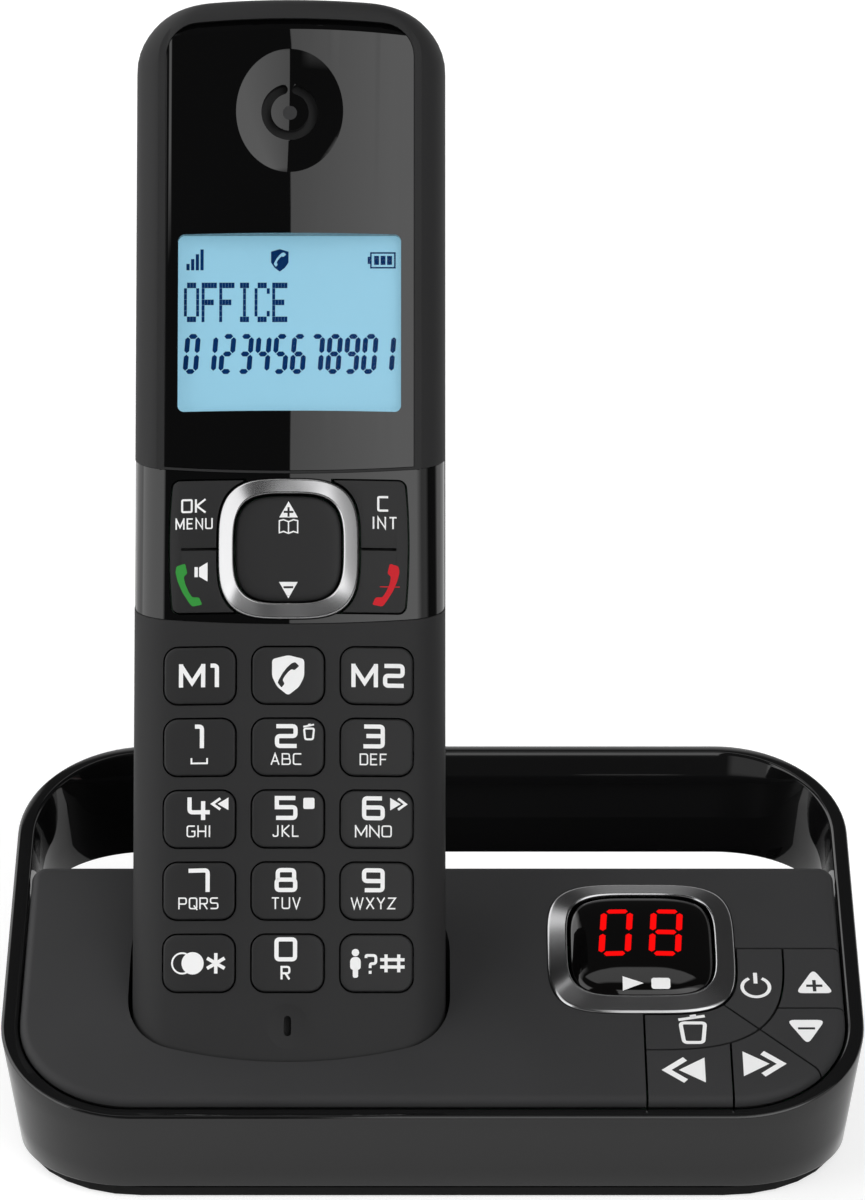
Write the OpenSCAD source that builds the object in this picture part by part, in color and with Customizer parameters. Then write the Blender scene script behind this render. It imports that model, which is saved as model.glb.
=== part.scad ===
// Cordless telephone: a handset that leans in an answering base with a loop-shaped surround.
// Millimetres. +X is the user's right, +Y runs to the back, the base stands on Z = 0.
// Handset frame: x across, y from its foot to its top, z out of its face. z = 0 is the crest of the face.
// Deck frame: x across, y up the slope from the front edge of the rim, z square to the sloping deck.

/* [Handset body] */
// Width of the handset
hs_w = 48; // [46:0.5:52]
// Length of the handset
hs_l = 167; // [163:1:177]
// Thickness of the handset
hs_t = 25; // [24:0.5:26]
// Lean of the handset from upright
hs_lean = 29.5; // [28:0.5:31]
// Distance of the handset's middle from the left edge of the base
hs_side = 44; // [43:0.5:46]
// Radius of the crown across the face
crown_r = 80; // [70:1:120]
// Radius of the shoulders beside the face
shoulder_r = 7; // [6:0.5:8]
// Radius of the long edges of the back
back_r = 9; // [7:0.5:9.5]
// Radius of the arch of the top end
top_arch_r = 250; // [150:10:400]
// Radius of the top corners
top_corner_r = 9.5; // [7:0.5:12]
// Radius of the bottom corners
bottom_corner_r = 9; // [7:0.5:11]
// Radius between face and ends
end_front_r = 3; // [2.5:0.25:4]
// Radius between back and top end
end_back_r = 10; // [8:0.5:11]
// Radius between back and foot
foot_back_r = 8; // [7:0.5:9]
// Wall of the two shells
shell_wall = 2.2; // [2:0.1:2.5]
// Depth of the parting line below the crest of the face
parting = 10.5; // [10:0.25:10.75]

/* [Screen] */
// Width of the gloss screen panel
panel_w = 38.2; // [37.5:0.1:39]
// Margin between the panel and the handset's top
panel_margin = 3.5; // [2.5:0.1:4.5]
// Radius of the panel's top corners
panel_corner_r = 5; // [3:0.5:7]
// Thickness of the panel along its long edges
panel_edge = 0.9; // [0.8:0.1:1.2]
// Width of the display window
lcd_w = 34.3; // [32:0.1:35]
// Corner radius of the display window
lcd_r = 1; // [0.6:0.1:1.5]
// Distance of the display window above the band
lcd_rise = 9.75; // [9:0.25:11]
// Distance between the display window and the dish
lcd_gap = 9.45; // [8:0.05:11]
// Diameter of the earpiece dish
dish_d = 19.2; // [17:0.2:21]
// Depth of the earpiece dish
dish_depth = 1.6; // [1.2:0.1:2]
// Distance of the dish's middle below the handset's top
dish_top = 17.8; // [17:0.1:18.5]
// Outer diameter of the sound slot
slot_outer_d = 8.8; // [8:0.1:9.5]
// Inner diameter of the sound slot
slot_inner_d = 5.8; // [5:0.1:6.5]

/* [Gloss band] */
// Height of the band's lower edge above the foot
band_y = 69.9; // [69.5:0.1:71]
// Height of the band
band_h = 23; // [22.6:0.1:24]
// Rise of the band's edges towards the back
band_slant = 20; // [14:1:22]
// Thickness of the band
band_t = 1.1; // [0.9:0.05:1.2]
// Depth of the band's surface below the shell
band_sink = 0.15; // [0.1:0.05:0.25]
// Outer size of the navigation ring
nav_d = 21.6; // [21:0.1:22]
// Width of the navigation ring
nav_ring_w = 2.4; // [2.2:0.1:2.8]
// Height of the navigation ring above the crest
nav_rise = 0.9; // [0.6:0.1:1.2]
// Squareness of the navigation ring and pad
nav_power = 3.4; // [2.5:0.1:5]
// Distance of the function keys' outer edge from the middle
side_key_x = 18.2; // [17.8:0.1:18.4]
// Height of the function keys
side_key_h = 20.2; // [19.5:0.1:20.6]
// Distance of the function keys' middle above the ring's middle
side_key_up = 0.4; // [0.3:0.05:0.5]

/* [Keypad] */
// Width of a key
key_w = 10.9; // [10.5:0.1:11.4]
// Height of a key
key_h = 8.6; // [8.2:0.1:9]
// Corner radius of a key
key_r = 2.1; // [1.5:0.1:3]
// Distance between columns
key_pitch_x = 13.5; // [13.4:0.1:13.8]
// Distance between rows
key_pitch_y = 10.95; // [10.8:0.05:11]
// Height of the lowest row's middle above the foot
key_row_y = 18.2; // [18:0.1:18.6]
// Height of the key tops above the face
key_rise = 0.35; // [0.3:0.05:0.7]
// Rounding of the key tops
key_fillet = 0.3; // [0.2:0.05:0.4]
// Travel of a key
key_travel = 0.7; // [0.4:0.05:0.8]

/* [Battery] */
// Diameter of a cell
cell_d = 10.5; // [10:0.1:10.5]
// Length of a cell
cell_l = 44.5; // [42:0.5:45]
// Width of the battery door
door_w = 27.6; // [26:0.2:28]
// Thickness of the battery door
door_t = 1.6; // [1.4:0.1:1.7]
// Height of the door's lower edge above the foot
door_y = 32; // [31:0.5:33]
// Sliding travel of the battery door
door_travel = 6; // [4:0.5:6]

/* [Base] */
// Width of the base
base_w = 132; // [130:0.5:140]
// Length of the rim along its slope
base_l = 83; // [81:0.5:90]
// Slope of the rim
rim_tilt = 16; // [15:0.25:17]
// Height of the rim's front edge
rim_front = 15.2; // [15:0.1:17]
// Corner radius of the rim
rim_corner_r = 20.5; // [18:0.5:22]
// Thickness of the surround
rim_t = 2.6; // [2.2:0.1:2.8]
// Draft of the surround's walls
rim_draft = 8; // [6:0.5:9]
// Height of the wall of the rear loop
loop_h = 17; // [14:0.5:18]
// Height of the surround's lower edge
plinth_h = 1.9; // [1.7:0.1:2.4]
// Length of the console along its slope
console_l = 54.2; // [54:0.1:56]
// Height of the console above the rim
console_rise = 0.6; // [0.4:0.1:1]
// Rounding of the console's edges
console_edge_r = 1.4; // [0.8:0.1:1.6]
// Thickness of the console's deck
deck_t = 2.2; // [2:0.1:2.4]
// Distance of the pocket's front edge ahead of the console's middle
pocket_ahead = 16.65; // [15.75:0.05:16.85]
// Depth of the handset's foot below the pocket's front edge
seat_depth = 4; // [3:0.25:4.5]
// Wall of the pocket
pocket_wall = 1.6; // [1.4:0.1:1.8]
// Depth of the lower case's shelf behind the console
shelf_l = 10.1; // [8.6:0.1:11.6]
// Wall of the lower case
case_wall = 1.8; // [1.5:0.1:2]

/* [Display and buttons] */
// Width of the display bezel
bezel_w = 29; // [28:0.2:30]
// Length of the display bezel
bezel_l = 28.4; // [27.5:0.1:29.5]
// Width of the bezel's face
bezel_face = 3.1; // [2.6:0.1:3.4]
// Squareness of the bezel
bezel_power = 4; // [3:0.25:6]
// Distance of the bezel's middle from the right edge of the base
bezel_side = 33.7; // [33:0.1:34.5]
// Distance of the bezel's middle up the slope from the console's middle
bezel_up = 6.85; // [6.25:0.05:7.25]
// Height of the lens crown above the deck
lens_rise = 1.7; // [1.2:0.1:2.2]
// Distance of the curved button line from the bezel's middle
curve_r = 21.9; // [21:0.1:23]
// Squareness of the curved button line
curve_power = 3.1; // [2.5:0.1:4]
// Distance of the straight splits from the bezel's middle
split_d = 13; // [12:0.1:14]
// Gap between flush buttons
button_gap = 0.35; // [0.3:0.05:0.5]
// Travel of the base's buttons
button_travel = 0.5; // [0.3:0.05:0.6]

/* [Clearances] */
// Gap round the keypad keys
key_gap = 0.25; // [0.2:0.05:0.35]
// Gap round the rocking pads
pad_gap = 0.3; // [0.25:0.05:0.4]
// Gap between pieces that are fitted together
fit_gap = 0.2; // [0.15:0.05:0.25]
// Gap between the handset and its pocket
pocket_gap = 0.7; // [0.5:0.1:0.9]

/* [Hidden] */
$fn = 48;
corner_steps = 7;
crown_steps = 10;
squircle_steps = 40;
// Reach of cutting blocks past the piece that they cut
cut = 1;
// Reach of half-space blocks
far = 600;

// Handset heights, measured from the crest of the face
face_edge = crown_z(panel_w / 2);
panel_back = face_edge - panel_edge;
seat_floor = panel_back - 0.1;
seat_t = 1.3;
seat_lap = 1.2;
lcd_t = 2.6;
lcd_lap = 1;
lcd_ledge = 0.4;
light_t = 1.5;
board_t = 1.2;
board_top = panel_back - fit_gap - lcd_t - light_t - fit_gap;
dome_h = 0.45;
mat_t = 0.6;
flange_t = 0.8;
flange_w = 0.7;
key_field_x = key_pitch_x + key_w / 2 + flange_w;
// Outer columns have no flange on their outer side, where the shell curves down
flange_reach = key_pitch_x + key_w / 2 + 0.06;
key_bottom = board_top + dome_h + fit_gap + mat_t + key_travel + fit_gap;
side_key_bottom = board_top + dome_h + 1.2;
band_inner = band_sink + band_t + 0.1;
nav_y = band_y + band_h / 2;
nav_pad_d = nav_d - 2 * nav_ring_w;
nav_seat_z = crown_z(nav_d / 2) - band_inner - 0.5;
band_top = band_y + band_h;
// Ridge of the shell between the band and the panel
ridge = 0.55;
panel_top = hs_l - panel_margin;
dish_y = hs_l - dish_top;
lcd_low = band_top + lcd_rise;
lcd_h = dish_y - dish_d / 2 - lcd_gap - lcd_low;
lcd_y = lcd_low + lcd_h / 2;
earpiece_r = 7.5;
earpiece_h = 3.6;
// Rear speaker and its grille, below the dish
loud_drop = 28;
loud_r = 11;
loud_h = 4.2;
loud_gap = 0.2;
mic_y = 8.7;
mic_r = 3;
mic_h = 2.7;
mic_dent_r = 3.4;
mic_dent_depth = 0.4;

// Battery bay
cell_gap = 0.3;
cell_z = -(hs_t - door_t - cell_gap - cell_d / 2);
cell_x = cell_d / 2 + cell_gap / 2;
bay_wall = 1.3;
bay_w = 2 * cell_d + 3 * cell_gap;
contact_room = 3.2;
door_l = cell_l + 2 * contact_room + 2 * bay_wall + 1;
cell_y = door_y + 0.5 + bay_wall + contact_room;
bay_top = cell_z + cell_d / 2 + cell_gap;

// Handset screws: x, y of each post
post_r = 2.6;
screw_r = 1.1;
head_r = 2.1;
head_h = 1.5;
head_sink = 9;
post_in = 8;
post_low = 8.6;
post_drop = 15;
post_x = hs_w / 2 - post_in;
post_spots = [for (y = [post_low, hs_l - post_drop], x = [-post_x, post_x]) [x, y]];
contact_x = 9;
contact_z = -14;
contact_w = 4.6;
contact_t = 1.8;

// Base: deck frame values
deck_top = console_rise;
deck_low = console_rise - deck_t;
rim_gap = 0.3;
inner_r = rim_corner_r - rim_t - rim_gap;
inner_x = base_w / 2 - rim_t - rim_gap;
inner_front = rim_t + rim_gap;
console_back_r = 2.5;
console_mid = (inner_front + console_l) / 2;
pocket_front = console_mid - pocket_ahead;
hs_left = base_w / 2 - hs_side;
pocket_right = hs_w / 2 - hs_left + pocket_gap + pocket_wall;
bezel_x = base_w / 2 - bezel_side;
bezel_s = console_mid + bezel_up;
rim_rear_z = rim_front + base_l * sin(rim_tilt);
loop_low = rim_rear_z - loop_h;
loop_from = console_l * cos(rim_tilt) - 8;
loop_to = (base_l - rim_corner_r) * cos(rim_tilt) + 4;
case_low = 0.3;
case_floor = 1.8;
foot_h = 1;
foot_r = 4.5;
shelf_y = console_l * cos(rim_tilt) + rim_gap;
case_back = shelf_y + shelf_l;
// Side walls of the lower case stay clear of the drafted surround
case_x = base_w / 2 - rim_t - (rim_front + case_back * tan(rim_tilt) - plinth_h) * tan(rim_draft) - rim_gap;
case_front = rim_t + (rim_front - plinth_h) * tan(rim_draft) + 2 * rim_gap;
case_r = 14;
flange_x = base_w / 2 - (rim_front + case_back * tan(rim_tilt) - plinth_h) * tan(rim_draft) + 0.9;
flange_front = (rim_front - plinth_h) * tan(rim_draft) + rim_gap;
flange_top = plinth_h - fit_gap;
shelf_drop = 4.2;

// Posts and screws of the base
base_post_r = 2.5;
base_screw_r = 1.3;
base_head_r = 2.4;
base_head_h = 0.6;
base_post_low = 8.2;
rear_post_y = shelf_y - base_post_r - rim_gap;
side_post_x = case_x - case_wall - base_post_r - rim_gap;
base_post_spots = [
    [-side_post_x, 20],
    [-side_post_x, rear_post_y],
    [pocket_right + base_post_r + 2, rear_post_y],
    [side_post_x, rear_post_y]];

// Base: inner pieces in the deck frame
board_n = -9;
// The board keeps clear of the drafted surround and of the rear posts
board_inset = (board_t - board_n) / cos(rim_tilt) * tan(rim_draft) + fit_gap;
board_rear = (rear_post_y - base_post_r - rim_gap + (board_n - board_t) * sin(rim_tilt)) / cos(rim_tilt);
board_x = [pocket_right + 0.7, inner_x - board_inset];
board_s = [inner_front + rim_gap, board_rear];
board_post_r = 1.5;
tact_body = 3.5;
tact_size = 6;
tact_top = board_n + tact_body + 0.5;
stem_r = 1.6;
stem_low = tact_top + button_travel + 0.15;
lens_w = bezel_w - 2 * bezel_face - 2 * 0.1;
lens_l = bezel_l - 2 * bezel_face - 2 * 0.1;
lens_low = deck_low - 0.8;
bezel_sink = 1;
led_w = 15;
led_l = 13;
// Places of the button stems, from the bezel's middle: between the bezel and the curve, or beyond the curve
near_x = (bezel_w / 2 + curve_r) / 2;
near_s = (bezel_l / 2 + curve_r) / 2;
beyond_x = (curve_r + inner_x - bezel_x) / 2;
beyond_s = (curve_r + bezel_s - inner_front) / 2;
stem_power = [near_x, 4.7 - split_d];
stem_delete = [split_d - 5.6, -near_s];
stem_volume_up = [beyond_x, 5.6 - split_d];
stem_volume_down = [split_d + 10.2, -split_d - 5.2];
stem_skip_back = [split_d - 7.2, -beyond_s];
stem_skip_forward = [split_d + 4.8, 2.3 - beyond_s];
stem_play = [0, board_s[1] - led_l - tact_size / 2 - 1 - bezel_s];
stem_spots = [stem_power, stem_delete, stem_volume_up, stem_volume_down, stem_skip_back, stem_skip_forward,
    stem_play];

// Base: inner pieces on the table
speaker_r = 15;
speaker_h = 6;
socket_d = 13;
socket_h = 10.6;
speaker_spot = [bezel_x + 1.7, case_back - case_wall - socket_d - speaker_r - 2.7];
socket_z = case_low + case_floor + 0.1;
line_socket_w = 13;
power_socket_w = 11;
power_socket_x = side_post_x - base_post_r - power_socket_w / 2 - 1.2;
line_socket_x = power_socket_x - (power_socket_w + line_socket_w) / 2 - 1;
foot_x = case_x - 8.7;
foot_spots = [[-foot_x, 12], [foot_x, 12], [-foot_x, case_back - 5.2], [foot_x, case_back - 5.2]];

// Place of the handset's foot, and the middle of the whole depth
pocket_edge_y = pocket_front * cos(rim_tilt) - console_rise * sin(rim_tilt);
pocket_edge_z = rim_front + pocket_front * sin(rim_tilt) + console_rise * cos(rim_tilt);
hand_y = pocket_edge_y - seat_depth * sin(hs_lean);
hand_z = pocket_edge_z - seat_depth * cos(hs_lean);
hand_rear = hand_y + (hs_l - end_back_r) * sin(hs_lean) + (hs_t - end_back_r) * cos(hs_lean) + end_back_r;
origin_y = hand_rear / 2;

// Height of the crowned face at x, lifted square to it
function crown_z(x, lift = 0) = sqrt(pow(crown_r + lift, 2) - x * x) - crown_r;

// Points of an arc, without its first point when skip is 1
function arc(c, r, a0, a1, n = corner_steps, skip = 0) =
    [for (i = [skip:n]) c + r * [cos(a0 + (a1 - a0) * i / n), sin(a0 + (a1 - a0) * i / n)]];

// Closed outline with a crowned top at y = 0, straight sides and a flat bottom, inset by d
function crowned_box(hw, h, cr, rt, rb, d = 0) =
    let (turn = asin((hw - rt) / (cr - rt)), drop = sqrt(pow(cr - rt, 2) - pow(hw - rt, 2)) - cr)
    concat(
        arc([0, -cr], cr - d, 90 - turn, 90 + turn, crown_steps),
        arc([rt - hw, drop], rt - d, 90 + turn, 180, corner_steps, 1),
        arc([rb - hw, rb - h], rb - d, 180, 270),
        arc([hw - rb, rb - h], rb - d, 270, 360),
        arc([hw - rt, drop], rt - d, 0, 90 - turn, corner_steps - 1));

// Closed rectangle outline with front and back corner radii, inset by d
function rounded(x0, x1, y0, y1, rf, rb, d = 0, n = corner_steps) =
    concat(
        arc([x1 - rb, y1 - rb], rb - d, 0, 90, n),
        arc([x0 + rb, y1 - rb], rb - d, 90, 180, n),
        arc([x0 + rf, y0 + rf], rf - d, 180, 270, n),
        arc([x1 - rf, y0 + rf], rf - d, 270, 360, n));

function signed_power(v, p) = sign(v) * pow(abs(v), p);

// Closed outline between an ellipse and a rectangle
function squircle(a, b, p, n = squircle_steps) =
    [for (i = [0:n - 1]) let (t = 360 * i / n)
        [a * signed_power(cos(t), 2 / p), b * signed_power(sin(t), 2 / p)]];

function at_height(loop, z) = [for (q = loop) [q[0], q[1], z]];
function mean_point(loop) = [for (k = [0:2]) [for (q = loop) q[k]] * [for (q = loop) 1 / len(loop)]];

// Deck frame to the table frame, before the shift to the middle
function deck_point(x, s, n) =
    [x, s * cos(rim_tilt) - n * sin(rim_tilt), rim_front + s * sin(rim_tilt) + n * cos(rim_tilt)];

// Solid skinned over a stack of loops that run anticlockwise, closed by a fan at each end
module lofted(loops) {
    n = len(loops[0]);
    m = len(loops);
    walls = [for (k = [0:m - 2], i = [0:n - 1], half = [0, 1])
        let (a = k * n + i, b = k * n + (i + 1) % n)
        half == 0 ? [a, a + n, b + n] : [a, b + n, b]];
    floor_fan = [for (i = [0:n - 1]) [i, (i + 1) % n, m * n]];
    roof_fan = [for (i = [0:n - 1]) [(m - 1) * n + (i + 1) % n, (m - 1) * n + i, m * n + 1]];
    points = concat([for (loop = loops) each loop], [mean_point(loops[0]), mean_point(loops[m - 1])]);
    polyhedron(points, concat(walls, floor_fan, roof_fan));
}

// Solid ring skinned over sections that follow a closed path anticlockwise
module swept_ring(sections) {
    n = len(sections);
    m = len(sections[0]);
    skin = [for (k = [0:n - 1], j = [0:m - 1], half = [0, 1])
        let (j1 = (j + 1) % m, k1 = (k + 1) % n)
        let (a = k * m + j, b = k * m + j1, c = k1 * m + j, d = k1 * m + j1)
        half == 0 ? [a, b, d] : [a, d, c]];
    polyhedron([for (section = sections) each section], skin);
}

module on_table() translate([0, -origin_y, 0]) children();
module on_deck() translate([0, -origin_y, rim_front]) rotate([rim_tilt, 0, 0]) children();
module on_handset() translate([-hs_left, hand_y - origin_y, hand_z]) rotate([90 - hs_lean, 0, 0]) children();

// Everything below the level n of the deck
module under_deck(n) on_deck() translate([-far / 2, -far / 2, n - far]) cube(far);

// Handset section drawn out along the whole length, inset by d
module section_bar(d) {
    translate([0, hs_l + cut, 0]) rotate([90, 0, 0]) linear_extrude(hs_l + 2 * cut)
        polygon(crowned_box(hs_w / 2, hs_t, crown_r, shoulder_r, back_r, d));
}

// Handset body inset by d on every side
module handset_body(d = 0) {
    side = concat(
        arc([hs_l - end_front_r, -end_front_r], end_front_r - d, 0, 90),
        arc([end_front_r, -end_front_r], end_front_r - d, 90, 180),
        arc([foot_back_r, foot_back_r - hs_t], foot_back_r - d, 180, 270),
        arc([hs_l - end_back_r, end_back_r - hs_t], end_back_r - d, 270, 360));
    intersection() {
        section_bar(d);
        translate([0, hs_l, -hs_t - cut]) linear_extrude(hs_t + 2 * cut)
            polygon(crowned_box(hs_w / 2, hs_l, top_arch_r, top_corner_r, bottom_corner_r, d));
        translate([-hs_w, 0, 0]) rotate([90, 0, 90]) linear_extrude(2 * hs_w) polygon(side);
    }
}

// Part of the handset's space in front of or behind the parting line
module front_half(gap) translate([-far / 2, -far / 2, -parting + gap]) cube(far);
module rear_half(gap) translate([-far / 2, -far / 2, -parting - gap - far]) cube(far);

// Slanted slice of the handset that holds the gloss band, wider by g at both edges
module band_slice(g) {
    lean = tan(band_slant);
    translate([-hs_w, 0, 0]) rotate([90, 0, 90]) linear_extrude(2 * hs_w) polygon([
        [band_y - g - cut * lean, cut],
        [band_top + g - cut * lean, cut],
        [band_top + g + hs_t * lean, -hs_t],
        [band_y - g + hs_t * lean, -hs_t]]);
}

// Block in the handset frame between two corners
module block(low, high) translate(low) cube(high - low);

// Post along z in the handset frame
module post(spot, r, z0, z1) translate([spot[0], spot[1], z0]) cylinder(r = r, h = z1 - z0);

// Outline of the screen panel, larger by g, down to the middle of the band
module panel_shape(g) {
    hw = panel_w / 2 + g;
    arch = top_arch_r - panel_margin;
    translate([0, panel_top + g]) polygon(
        crowned_box(hw, panel_top + g - nav_y, arch, panel_corner_r + g, 0.5));
}

// Block under the outline of the screen panel that ends at a slanted edge above the band
module panel_block(g, z0) {
    difference() {
        translate([0, 0, z0]) linear_extrude(hs_t) panel_shape(g);
        band_slice(ridge - g);
    }
}

// Block of the display window's size, smaller by d
module lcd_block(d, z0, z1) {
    translate([0, 0, z0]) linear_extrude(z1 - z0)
        polygon(rounded(-lcd_w / 2, lcd_w / 2, lcd_low, lcd_low + lcd_h, lcd_r, lcd_r, d, 3));
}

// Outline of a function key on the left, larger by g, with a bowed outer edge and a hollow beside the ring
module side_key_shape(g) {
    bow = 0.5;
    half = side_key_h / 2 + g;
    bow_r = (half * half + bow * bow) / (2 * bow);
    inner = -nav_d * 0.3 + g;
    reach = nav_d / 2 + pad_gap - g;
    translate([0, nav_y]) difference() {
        translate([0, side_key_up]) intersection() {
            translate([-side_key_x - g, -half]) square([side_key_x + g + inner, 2 * half]);
            translate([bow_r - side_key_x - g, 0]) circle(bow_r, $fn = 200);
        }
        polygon(squircle(reach, reach, nav_power));
    }
}

module nav_shape(half) translate([0, nav_y]) polygon(squircle(half, half, nav_power));

// Outline of a key about its middle, inset by d
function key_loop(d) = rounded(-key_w / 2, key_w / 2, -key_h / 2, key_h / 2, key_r, key_r, d, 3);

// Middle of the key in column c and row r, both counted from 0 at the upper left
function key_spot(c, r) = [(c - 1) * key_pitch_x, key_row_y + (4 - r) * key_pitch_y];

module key_opening(c, r) {
    spot = key_spot(c, r);
    translate([spot[0], spot[1], -parting]) linear_extrude(parting + cut) polygon(key_loop(-key_gap));
}

// Keypad key: crowned cap with a rounded edge on a flange that keeps it in its opening
module key_cap(c, r) {
    spot = key_spot(c, r);
    stem = key_loop(0);
    foot = [for (q = key_loop(-flange_w))
        [max(-flange_reach - spot[0], min(flange_reach - spot[0], q[0])), q[1]]];
    round_steps = [0, 45, 90];
    on_handset() translate([spot[0], spot[1], 0]) lofted(concat(
        [at_height(foot, key_bottom), at_height(foot, key_bottom + flange_t),
            at_height(stem, key_bottom + flange_t)],
        [for (a = round_steps) [for (q = key_loop(key_fillet * (1 - cos(a))))
            [q[0], q[1], crown_z(spot[0] + q[0]) + key_rise - key_fillet * (1 - sin(a))]]]));
}

module key_colour() color([0.16, 0.16, 0.16]) children();

module handset_front_shell() {
    color([0.2, 0.2, 0.2]) on_handset() difference() {
        union() {
            difference() {
                intersection() {
                    handset_body();
                    front_half(fit_gap / 2);
                }
                handset_body(shell_wall);
            }
            intersection() {
                handset_body(shell_wall / 2);
                union() {
                    translate([0, 0, seat_floor - seat_t]) linear_extrude(seat_t + panel_edge)
                        intersection() {
                            panel_shape(seat_lap);
                            translate([-hs_w, band_top - seat_lap]) square([2 * hs_w, hs_l]);
                        }
                    translate([0, 0, nav_seat_z - seat_t]) linear_extrude(seat_t + band_inner)
                        nav_shape(nav_d / 2 + 1);
                    for (spot = post_spots) post(spot, post_r, -parting + fit_gap, 0);
                }
            }
        }
        intersection() {
            band_slice(fit_gap / 2);
            difference() {
                section_bar(-cut);
                section_bar(band_inner);
            }
        }
        panel_block(0.1, seat_floor);
        block([-lcd_w / 2 - lcd_lap - fit_gap, lcd_low - lcd_lap - lcd_ledge - fit_gap, -parting],
            [lcd_w / 2 + lcd_lap + fit_gap, lcd_low + lcd_h + lcd_lap + fit_gap, 0]);
        post([0, dish_y], slot_outer_d / 2 + 0.6, -parting, 0);
        for (side = [0, 1]) mirror([side, 0, 0]) translate([0, 0, -parting]) linear_extrude(hs_t)
            side_key_shape(pad_gap);
        translate([0, 0, nav_seat_z]) linear_extrude(hs_t) nav_shape(nav_d / 2 + 0.1);
        translate([0, 0, -parting]) linear_extrude(hs_t) nav_shape(nav_pad_d / 2 + 0.1);
        for (c = [0:2], r = [0:4]) key_opening(c, r);
        mic_slot(0, parting);
        mic_dent();
        for (spot = post_spots) post(spot, screw_r + 0.05, -parting, -shell_wall - 2);
    }
}

// Upright slot of the microphone, larger by g
module mic_slot(g, depth) {
    slot_w = 1.1 + 2 * g;
    slot_h = 3.1 + 2 * g;
    translate([0, mic_y, -depth]) linear_extrude(depth + cut) union() {
        square([slot_w, slot_h - slot_w], center = true);
        for (end = [-1, 1]) translate([0, end * (slot_h - slot_w) / 2]) circle(slot_w / 2);
    }
}

// Shallow round dent about the microphone slot
module mic_dent() {
    ball_r = (pow(mic_dent_r, 2) + pow(mic_dent_depth, 2)) / (2 * mic_dent_depth);
    translate([0, mic_y, ball_r - mic_dent_depth]) sphere(ball_r, $fn = 96);
}

module handset_rear_shell() {
    back = -hs_t;
    door_gap = 0.25;
    bay_y0 = cell_y - contact_room;
    bay_y1 = cell_y + cell_l + contact_room;
    sill = -hs_t + door_t + fit_gap;
    color([0.17, 0.17, 0.17]) on_handset() difference() {
        union() {
            difference() {
                intersection() {
                    handset_body();
                    rear_half(fit_gap / 2);
                }
                handset_body(shell_wall);
            }
            intersection() {
                handset_body(shell_wall / 2);
                union() {
                    block([-bay_w / 2 - bay_wall, bay_y0 - bay_wall, sill],
                        [bay_w / 2 + bay_wall, bay_y1 + bay_wall, bay_top + 1.2]);
                    block([-door_w / 2 - 2, door_y - door_travel - 2, sill],
                        [door_w / 2 + 2, door_y, sill + 1.6]);
                    for (spot = post_spots) post(spot, head_r + 1.2, back, -parting - fit_gap);
                }
            }
        }
        block([-door_w / 2 - door_gap, door_y - door_travel - door_gap, back - cut],
            [door_w / 2 + door_gap, door_y + door_l + door_gap, sill - 0.05]);
        block([-door_w / 2 - door_gap, door_y, back - cut],
            [door_w / 2 + door_gap, bay_y0 - bay_wall, back + shell_wall + cut]);
        block([-bay_w / 2, bay_y0, back - cut], [bay_w / 2, bay_y1, bay_top]);
        for (i = [-2:2]) translate([0, dish_y - loud_drop + 3.2 * i, back - cut])
            linear_extrude(shell_wall + 2 * cut) square([16 - 2 * abs(i), 1.4], center = true);
        for (side = [-1, 1]) translate([side * contact_x, 0, contact_z])
            block([-contact_w / 2 - 0.1, -cut, -contact_t / 2 - 0.1],
                [contact_w / 2 + 0.1, shell_wall + cut, contact_t / 2 + 0.1]);
        for (spot = post_spots) {
            post(spot, head_r + 0.2, back - cut, back + head_sink);
            post(spot, screw_r + 0.15, back, 0);
        }
    }
}

module glossy_band() {
    color([0.05, 0.05, 0.05]) on_handset() difference() {
        intersection() {
            band_slice(0);
            front_half(fit_gap / 2);
            difference() {
                section_bar(band_sink);
                section_bar(band_sink + band_t);
            }
        }
        for (side = [0, 1]) mirror([side, 0, 0]) translate([0, 0, -parting]) linear_extrude(hs_t)
            side_key_shape(pad_gap);
        translate([0, 0, -parting]) linear_extrude(hs_t) nav_shape(nav_d / 2 + 0.1);
    }
}

// Gloss panel: crowned in front, flat behind, with the earpiece dish and its open ring of a slot
module screen_panel() {
    ball_r = (pow(dish_d / 2, 2) + pow(dish_depth, 2)) / (2 * dish_depth);
    color([0.03, 0.03, 0.03]) on_handset() difference() {
        intersection() {
            panel_block(0, panel_back);
            section_bar(0);
        }
        translate([0, dish_y, ball_r - dish_depth]) sphere(ball_r, $fn = 160);
        translate([0, dish_y, panel_back - cut]) linear_extrude(cut - panel_back) sound_slot();
        lcd_block(0, panel_back - cut, cut);
    }
}

// Ring of the sound slot, open at the top, with round ends
module sound_slot() {
    turn = 17;
    mid_r = (slot_outer_d + slot_inner_d) / 4;
    end_r = (slot_outer_d - slot_inner_d) / 4;
    polygon(concat(
        arc([0, 0], slot_outer_d / 2, 90 + turn, 450 - turn, 36),
        arc(mid_r * [sin(turn), cos(turn)], end_r, 90 - turn, 270 - turn, 6, 1),
        arc([0, 0], slot_inner_d / 2, 450 - turn, 90 + turn, 36, 1),
        arc(mid_r * [-sin(turn), cos(turn)], end_r, turn - 90, turn + 60, 5, 1)));
}

module lcd_window() {
    color([0.7, 0.85, 0.9, 0.4]) on_handset() intersection() {
        lcd_block(0.05, panel_back, cut);
        section_bar(0.05);
    }
}

// Display cell with a ledge for its drive contacts along the lower edge
module lcd_module() {
    top = panel_back - fit_gap;
    half = lcd_w / 2 + lcd_lap;
    low = lcd_low - lcd_lap;
    high = lcd_low + lcd_h + lcd_lap;
    color([0.58, 0.8, 0.88]) on_handset() {
        block([-half, low, top - lcd_t / 2], [half, high, top]);
        block([-half, low - lcd_ledge, top - lcd_t], [half, high, top - lcd_t / 2]);
    }
}

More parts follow.
